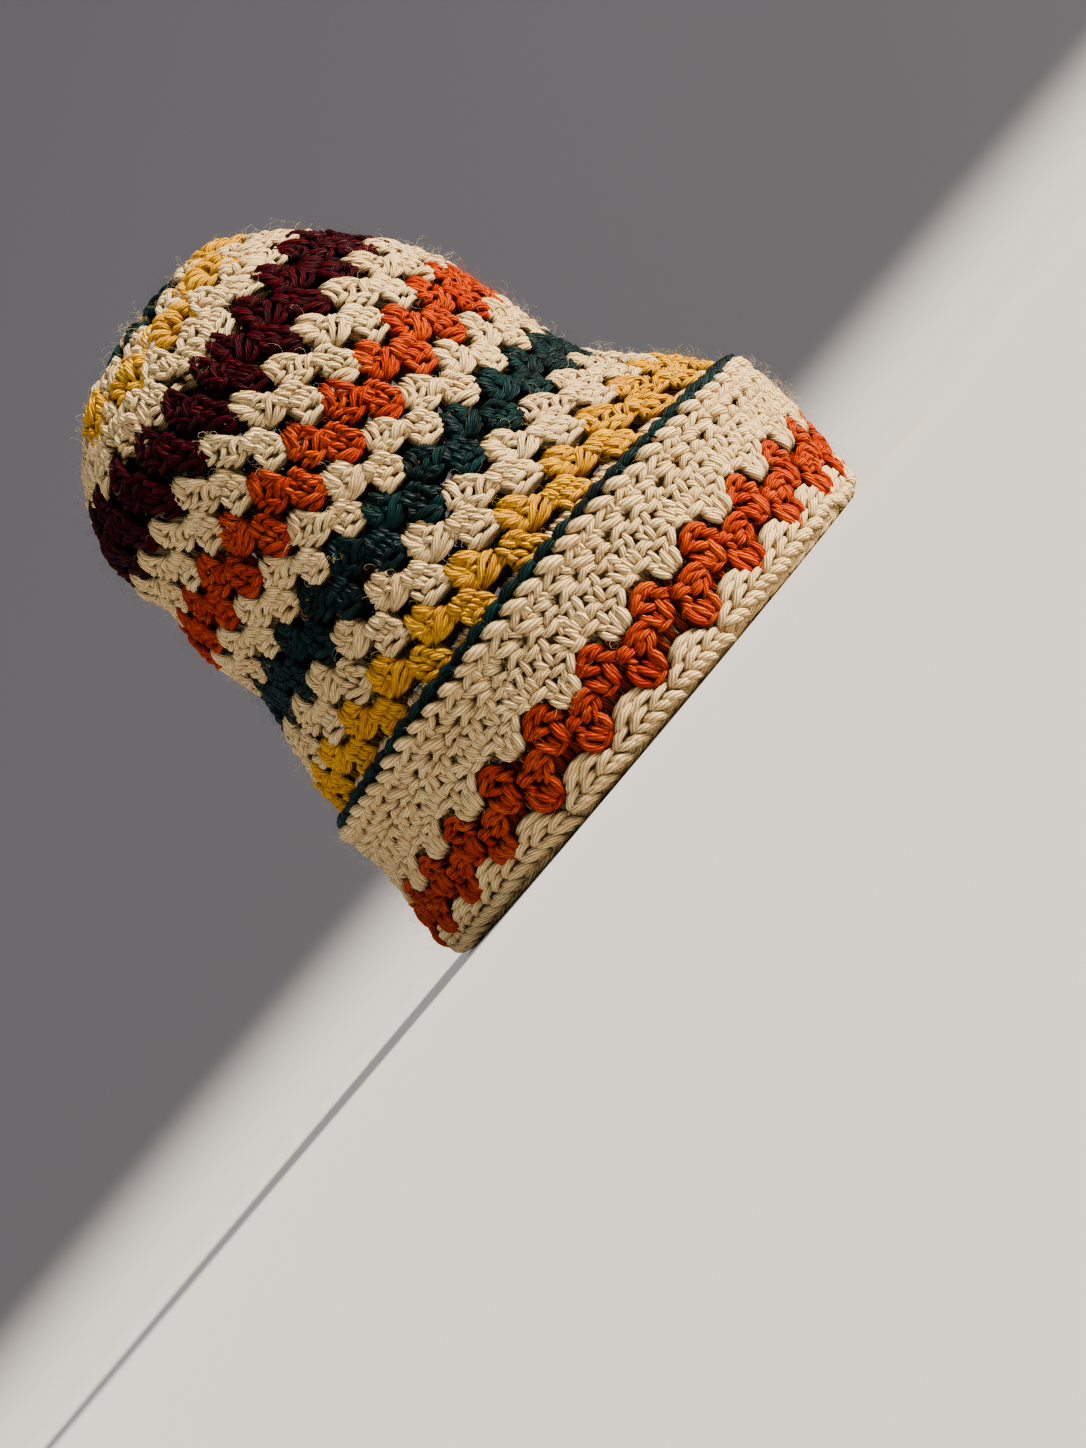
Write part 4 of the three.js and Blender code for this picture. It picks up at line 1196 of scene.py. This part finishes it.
class BEANIE_OT_brim_orange(bpy.types.Operator):
    """Crochet the brim's two orange rounds, which stand upside down on the turned-up cloth"""

    bl_idname = "beanie.brim_orange"
    bl_label = "Brim, orange"

    def execute(self, context):
        below = stitch_of(BRIM_LOWER, LOWER_VIEW) + BRIM_BACK
        above = stitch_of(BRIM_UPPER, UPPER_VIEW)
        rounds = [
            (even_centres(CLUSTERS, DOWN_PHASE), below, BRIM_SPAN),
            (even_centres(CLUSTERS, UP_PHASE), above, BRIM_SPAN),
        ]
        crochet_brim("brim_orange_stitches", "brim_orange", "orange_yarn", rounds, seed=400, fibres=2)
        return {"FINISHED"}


class BEANIE_OT_brim_cream(bpy.types.Operator):
    """Crochet the brim's hanging clusters and the close rounds above them"""

    bl_idname = "beanie.brim_cream"
    bl_label = "Brim, cream"

    def execute(self, context):
        stitch = stitch_of(CLOSE_ROUNDS, CLOSE_VIEW) + CLOSE_BACK
        rounds = [(even_centres(CLUSTERS, DOWN_PHASE), stitch, BRIM_SPAN)]
        ring = ("brim_cream_stitches", "brim_cream", "cream_yarn")
        crochet_brim(*ring, rounds, seed=500, fibres=6, strays=0.8)
        return {"FINISHED"}


class BEANIE_OT_brim_edge(bpy.types.Operator):
    """Crochet the thin dark round along the brim's top edge"""

    bl_idname = "beanie.brim_edge"
    bl_label = "Brim, edge"

    def execute(self, context):
        centres = even_centres(EDGE_STITCHES * CLUSTERS, phase=0.5)
        ring = ("brim_edge_stitches", "brim_edge_teal", "teal_yarn")
        rounds = [(centres, EDGE_STITCH, EDGE_SPAN)]
        crochet_brim(*ring, rounds, seed=600, fibres=1, strays=0.6, down=0.7)
        return {"FINISHED"}


# The fold: ropes of yarn side by side round a half circle under the two layers, from the outer face at 0
# degrees to the inner face at 180 degrees. FOLD_SINK draws the ropes in where they face outwards.
FOLD_RADIUS = 6.4
FOLD_ROPE = 1.75
FOLD_ROPES = (16, 46, 74, 100, 130, 160, 190)
FOLD_SINK = 1.0
# Each rope is a row of slanting strands. As shares of the way to the next strand: how far each rope's first
# one is moved on from the last rope's, and how far a strand reaches to each side. Then how far it climbs to
# each side, and how unevenly it lies, inwards and upwards.
FOLD_STRANDS = 2 * CLUSTERS
FOLD_STAGGER = 0.37
FOLD_REACH = 0.62
FOLD_CLIMB = 0.8
FOLD_STRAY_IN = 0.2
FOLD_STRAY_UP = 0.15
# The rim's fibres are worn shorter.
FOLD_DOWN = 0.8


def fold_rope(number, degrees, rng):
    """One rope of the fold, so many degrees round its half circle."""
    rings = KINDS["long"].rings
    turned = math.radians(degrees)
    outwards = math.cos(turned)
    angle = even_centres(FOLD_STRANDS, FOLD_STAGGER * number)[:, None]
    angle = angle + np.linspace(-FOLD_REACH, FOLD_REACH, rings) * TURN / FOLD_STRANDS
    climb = np.linspace(-FOLD_CLIMB, FOLD_CLIMB, rings) * outwards
    radius = FOLD_RADIUS - FOLD_ROPE - FOLD_SINK * max(outwards, 0)
    inset = FOLD_RADIUS - radius * outwards + rng.normal(0, FOLD_STRAY_IN, (FOLD_STRANDS, 1))
    height = FOLD_RADIUS - radius * math.sin(turned) + climb
    height = height + rng.normal(0, FOLD_STRAY_UP, (FOLD_STRANDS, 1))
    out = outward(BRIM, np.full_like(angle, FOLD_RADIUS), angle)
    paths = BRIM.face(np.maximum(height, 0), angle) - out * inset[..., None]
    paths[..., 2] = height
    return Laid("long", paths, out, np.full(FOLD_STRANDS, FOLD_ROPE))


class BEANIE_OT_rim_fold(bpy.types.Operator):
    """Crochet the fold at the rim, where the cloth turns up"""

    bl_idname = "beanie.rim_fold"
    bl_label = "Rim fold"

    def execute(self, context):
        yarn = context.scene.beanie_yarn
        rng = np.random.default_rng(700)
        laid = [fold_rope(number, degrees, rng) for number, degrees in enumerate(FOLD_ROPES)]
        centres = even_centres(CLUSTERS, UP_PHASE)
        stray = yarn.unevenness / MM
        laid += lay_round(BRIM, lambda y, angle: y, centres, [RIM_ROUNDS], BRIM_SPAN, rng, stray)
        laid += loose_fibres(laid, 2 * CLUSTERS * yarn.fibres, yarn.fibre_length / MM * FOLD_DOWN, rng)
        yarn_piece("rim_fold_stitches", ["rim_fold_cream"], "cream_yarn", laid, seed=701, floor=True)
        return {"FINISHED"}


# The camera's aim: where the picture's centre lies on the hat, in metres.
AIM = Vector((-30, 0, 31.7)) * MM
SENSOR = 36.0
# The camera is close to the floor and has to see it near its own foot.
NEAREST = 2 * MM

# The main light shines evenly from the right. SUN_FROM is the direction it comes from.
SUN_FROM = (1.25, -0.35, 0.55)
SUN_STRENGTH = 16.8
SUN_SPREAD = math.radians(20)
SUN_COLOUR = "#FFF3E4"
# The lamps: name, place, size, power and colour.
LAMPS = [
    ("fill", (-0.9, -1.1, 0.7), 1.0, 6.0, "#F2F4FF"),
    ("top", (-0.5, 0.2, 1.1), 0.6, 4.0, "#FFFFFF"),
]
# Every light is turned to the hat's middle, in metres.
LIT_POINT = Vector((0, 0, 0.11))
WORLD_STRENGTH = 0.12
WORLD_COLOUR = "#F2F3F5"
# The sheet of paper: how wide it lies, how high it hangs and the radius of its sweep, in metres, and the flat
# pieces that the sweep is made of. Then the height at which it has become as grey as it gets.
PAPER_WIDTH = 10
PAPER_HEIGHT = 6
PAPER_SWEEP = 4.0
PAPER_PIECES = 48
PAPER_ROUGHNESS = 0.95
GREY_FROM = 0.12


class BEANIE_OT_stage(bpy.types.Operator):
    """Set up the pale floor, the soft lights and the camera"""

    bl_idname = "beanie.stage"
    bl_label = "Stage"

    def execute(self, context):
        stage = context.scene.beanie_stage
        self.backdrop(stage)
        self.lights(context)
        self.camera(context, stage)
        return {"FINISHED"}

    def lights(self, context):
        """An even light from one side, two soft lamps and the glow of a pale room."""
        sun = bpy.data.lights.new("key", "SUN")
        sun.energy = SUN_STRENGTH
        sun.angle = SUN_SPREAD
        sun.color = linear(SUN_COLOUR)
        self.hang(context, sun, SUN_FROM)
        for name, place, size, power, colour in LAMPS:
            light = bpy.data.lights.new(name, "AREA")
            light.shape = "DISK"
            light.size = size
            light.energy = power
            light.color = linear(colour)
            self.hang(context, light, place)
        world = bpy.data.worlds.new("studio")
        world.use_nodes = True
        glow = world.node_tree.nodes["Background"].inputs
        glow["Color"].default_value = linear(WORLD_COLOUR) + (1,)
        glow["Strength"].default_value = WORLD_STRENGTH
        context.scene.world = world

    def hang(self, context, light, place):
        """Puts a light at its place, turned to the hat."""
        lamp = bpy.data.objects.new(light.name, light)
        lamp.location = place
        lamp.rotation_euler = (LIT_POINT - Vector(place)).to_track_quat("-Z", "Y").to_euler()
        context.scene.collection.objects.link(lamp)

    def backdrop(self, stage):
        """A sheet of matt paper that lies on the floor and sweeps up behind the hat."""
        bpy.ops.object.select_all(action="DESELECT")
        bpy.ops.mesh.primitive_plane_add(size=PAPER_WIDTH, location=(0, 0, 0))
        paper = bpy.context.active_object
        paper.name = "studio_floor"
        bpy.ops.object.mode_set(mode="EDIT")
        bpy.ops.mesh.select_all(action="DESELECT")
        bpy.ops.object.mode_set(mode="OBJECT")
        for edge in paper.data.edges:
            edge.select = all(paper.data.vertices[v].co.y > 0 for v in edge.vertices)
        bpy.ops.object.mode_set(mode="EDIT")
        bpy.ops.mesh.select_mode(type="EDGE")
        bpy.ops.mesh.extrude_region_move(TRANSFORM_OT_translate={"value": (0, 0, PAPER_HEIGHT)})
        bpy.ops.object.mode_set(mode="OBJECT")
        bevel = paper.modifiers.new("sweep", "BEVEL")
        bevel.width = PAPER_SWEEP
        bevel.segments = PAPER_PIECES
        bpy.ops.object.modifier_apply(modifier="sweep")
        bpy.ops.object.shade_smooth()
        paper.data.materials.append(self.paper(stage))

    def paper(self, stage):
        """Matt paper, pale where it lies on the floor and a soft grey where it hangs, so that the hat's
        outline and its small holes stand out."""
        material = bpy.data.materials.new("matt_backdrop_paper")
        material.use_nodes = True
        tree = material.node_tree
        tree.nodes.clear()
        coords = add_node(tree, "ShaderNodeTexCoord")
        height = add_node(tree, "ShaderNodeSeparateXYZ", links={0: coords.outputs["Object"]})
        up = add_node(tree, "ShaderNodeMapRange", {2: GREY_FROM}, {0: height.outputs["Z"]})
        ramp = add_node(tree, "ShaderNodeValToRGB", links={0: up.outputs[0]})
        ramp.color_ramp.interpolation = "EASE"
        ramp.color_ramp.elements[0].color = tuple(stage.backdrop) + (1,)
        ramp.color_ramp.elements[1].color = tuple(stage.wall) + (1,)
        colour = {"Base Color": ramp.outputs[0]}
        shader = add_node(tree, "ShaderNodeBsdfPrincipled", {"Roughness": PAPER_ROUGHNESS}, colour)
        add_node(tree, "ShaderNodeOutputMaterial", links={"Surface": shader.outputs[0]})
        return material

    def camera(self, context, stage):
        """A camera that looks at the hat from one side, rolled over so that the hat leans."""
        data = bpy.data.cameras.new("camera")
        data.sensor_width = SENSOR
        data.lens = SENSOR * stage.distance / stage.height
        data.clip_start = NEAREST
        camera = bpy.data.objects.new("camera", data)
        context.scene.collection.objects.link(camera)
        back = Vector((0, -math.cos(stage.tilt), math.sin(stage.tilt)))
        level_right = Vector((1, 0, 0))
        level_up = back.cross(level_right)
        right = level_right * math.cos(stage.roll) - level_up * math.sin(stage.roll)
        up = back.cross(right)
        turned = Matrix((right, up, back)).transposed().to_4x4()
        camera.matrix_world = Matrix.Translation(AIM + back * stage.distance) @ turned
        context.scene.camera = camera


class BEANIE_PT_panel(bpy.types.Panel):
    """Lists the pieces of the hat in the order in which they are made, and the sizes and colours"""

    bl_label = "Beanie"
    bl_space_type = "VIEW_3D"
    bl_region_type = "UI"
    bl_category = "Beanie"

    def draw(self, context):
        for operator in OPERATORS:
            self.layout.operator(operator.bl_idname)
        for group in (context.scene.beanie_yarn, context.scene.beanie_stage):
            for name in group.bl_rna.properties.keys():
                if name not in ("rna_type", "name"):
                    self.layout.prop(group, name)


OPERATORS = (
    BEANIE_OT_crown,
    BEANIE_OT_body,
    BEANIE_OT_inner_layer,
    BEANIE_OT_rim_fold,
    BEANIE_OT_brim_orange,
    BEANIE_OT_brim_cream,
    BEANIE_OT_brim_edge,
    BEANIE_OT_stage,
)
CLASSES = (BeanieYarn, BeanieStage, *OPERATORS, BEANIE_PT_panel)


def register():
    for cls in CLASSES:
        bpy.utils.register_class(cls)
    bpy.types.Scene.beanie_yarn = bpy.props.PointerProperty(type=BeanieYarn)
    bpy.types.Scene.beanie_stage = bpy.props.PointerProperty(type=BeanieStage)


def unregister():
    del bpy.types.Scene.beanie_stage
    del bpy.types.Scene.beanie_yarn
    for cls in reversed(CLASSES):
        bpy.utils.unregister_class(cls)


def main():
    register()
    bpy.ops.beanie.crown()
    bpy.ops.beanie.body()
    bpy.ops.beanie.inner_layer()
    bpy.ops.beanie.rim_fold()
    bpy.ops.beanie.brim_orange()
    bpy.ops.beanie.brim_cream()
    bpy.ops.beanie.brim_edge()
    bpy.ops.beanie.stage()


if __name__ == "__main__":
    main()
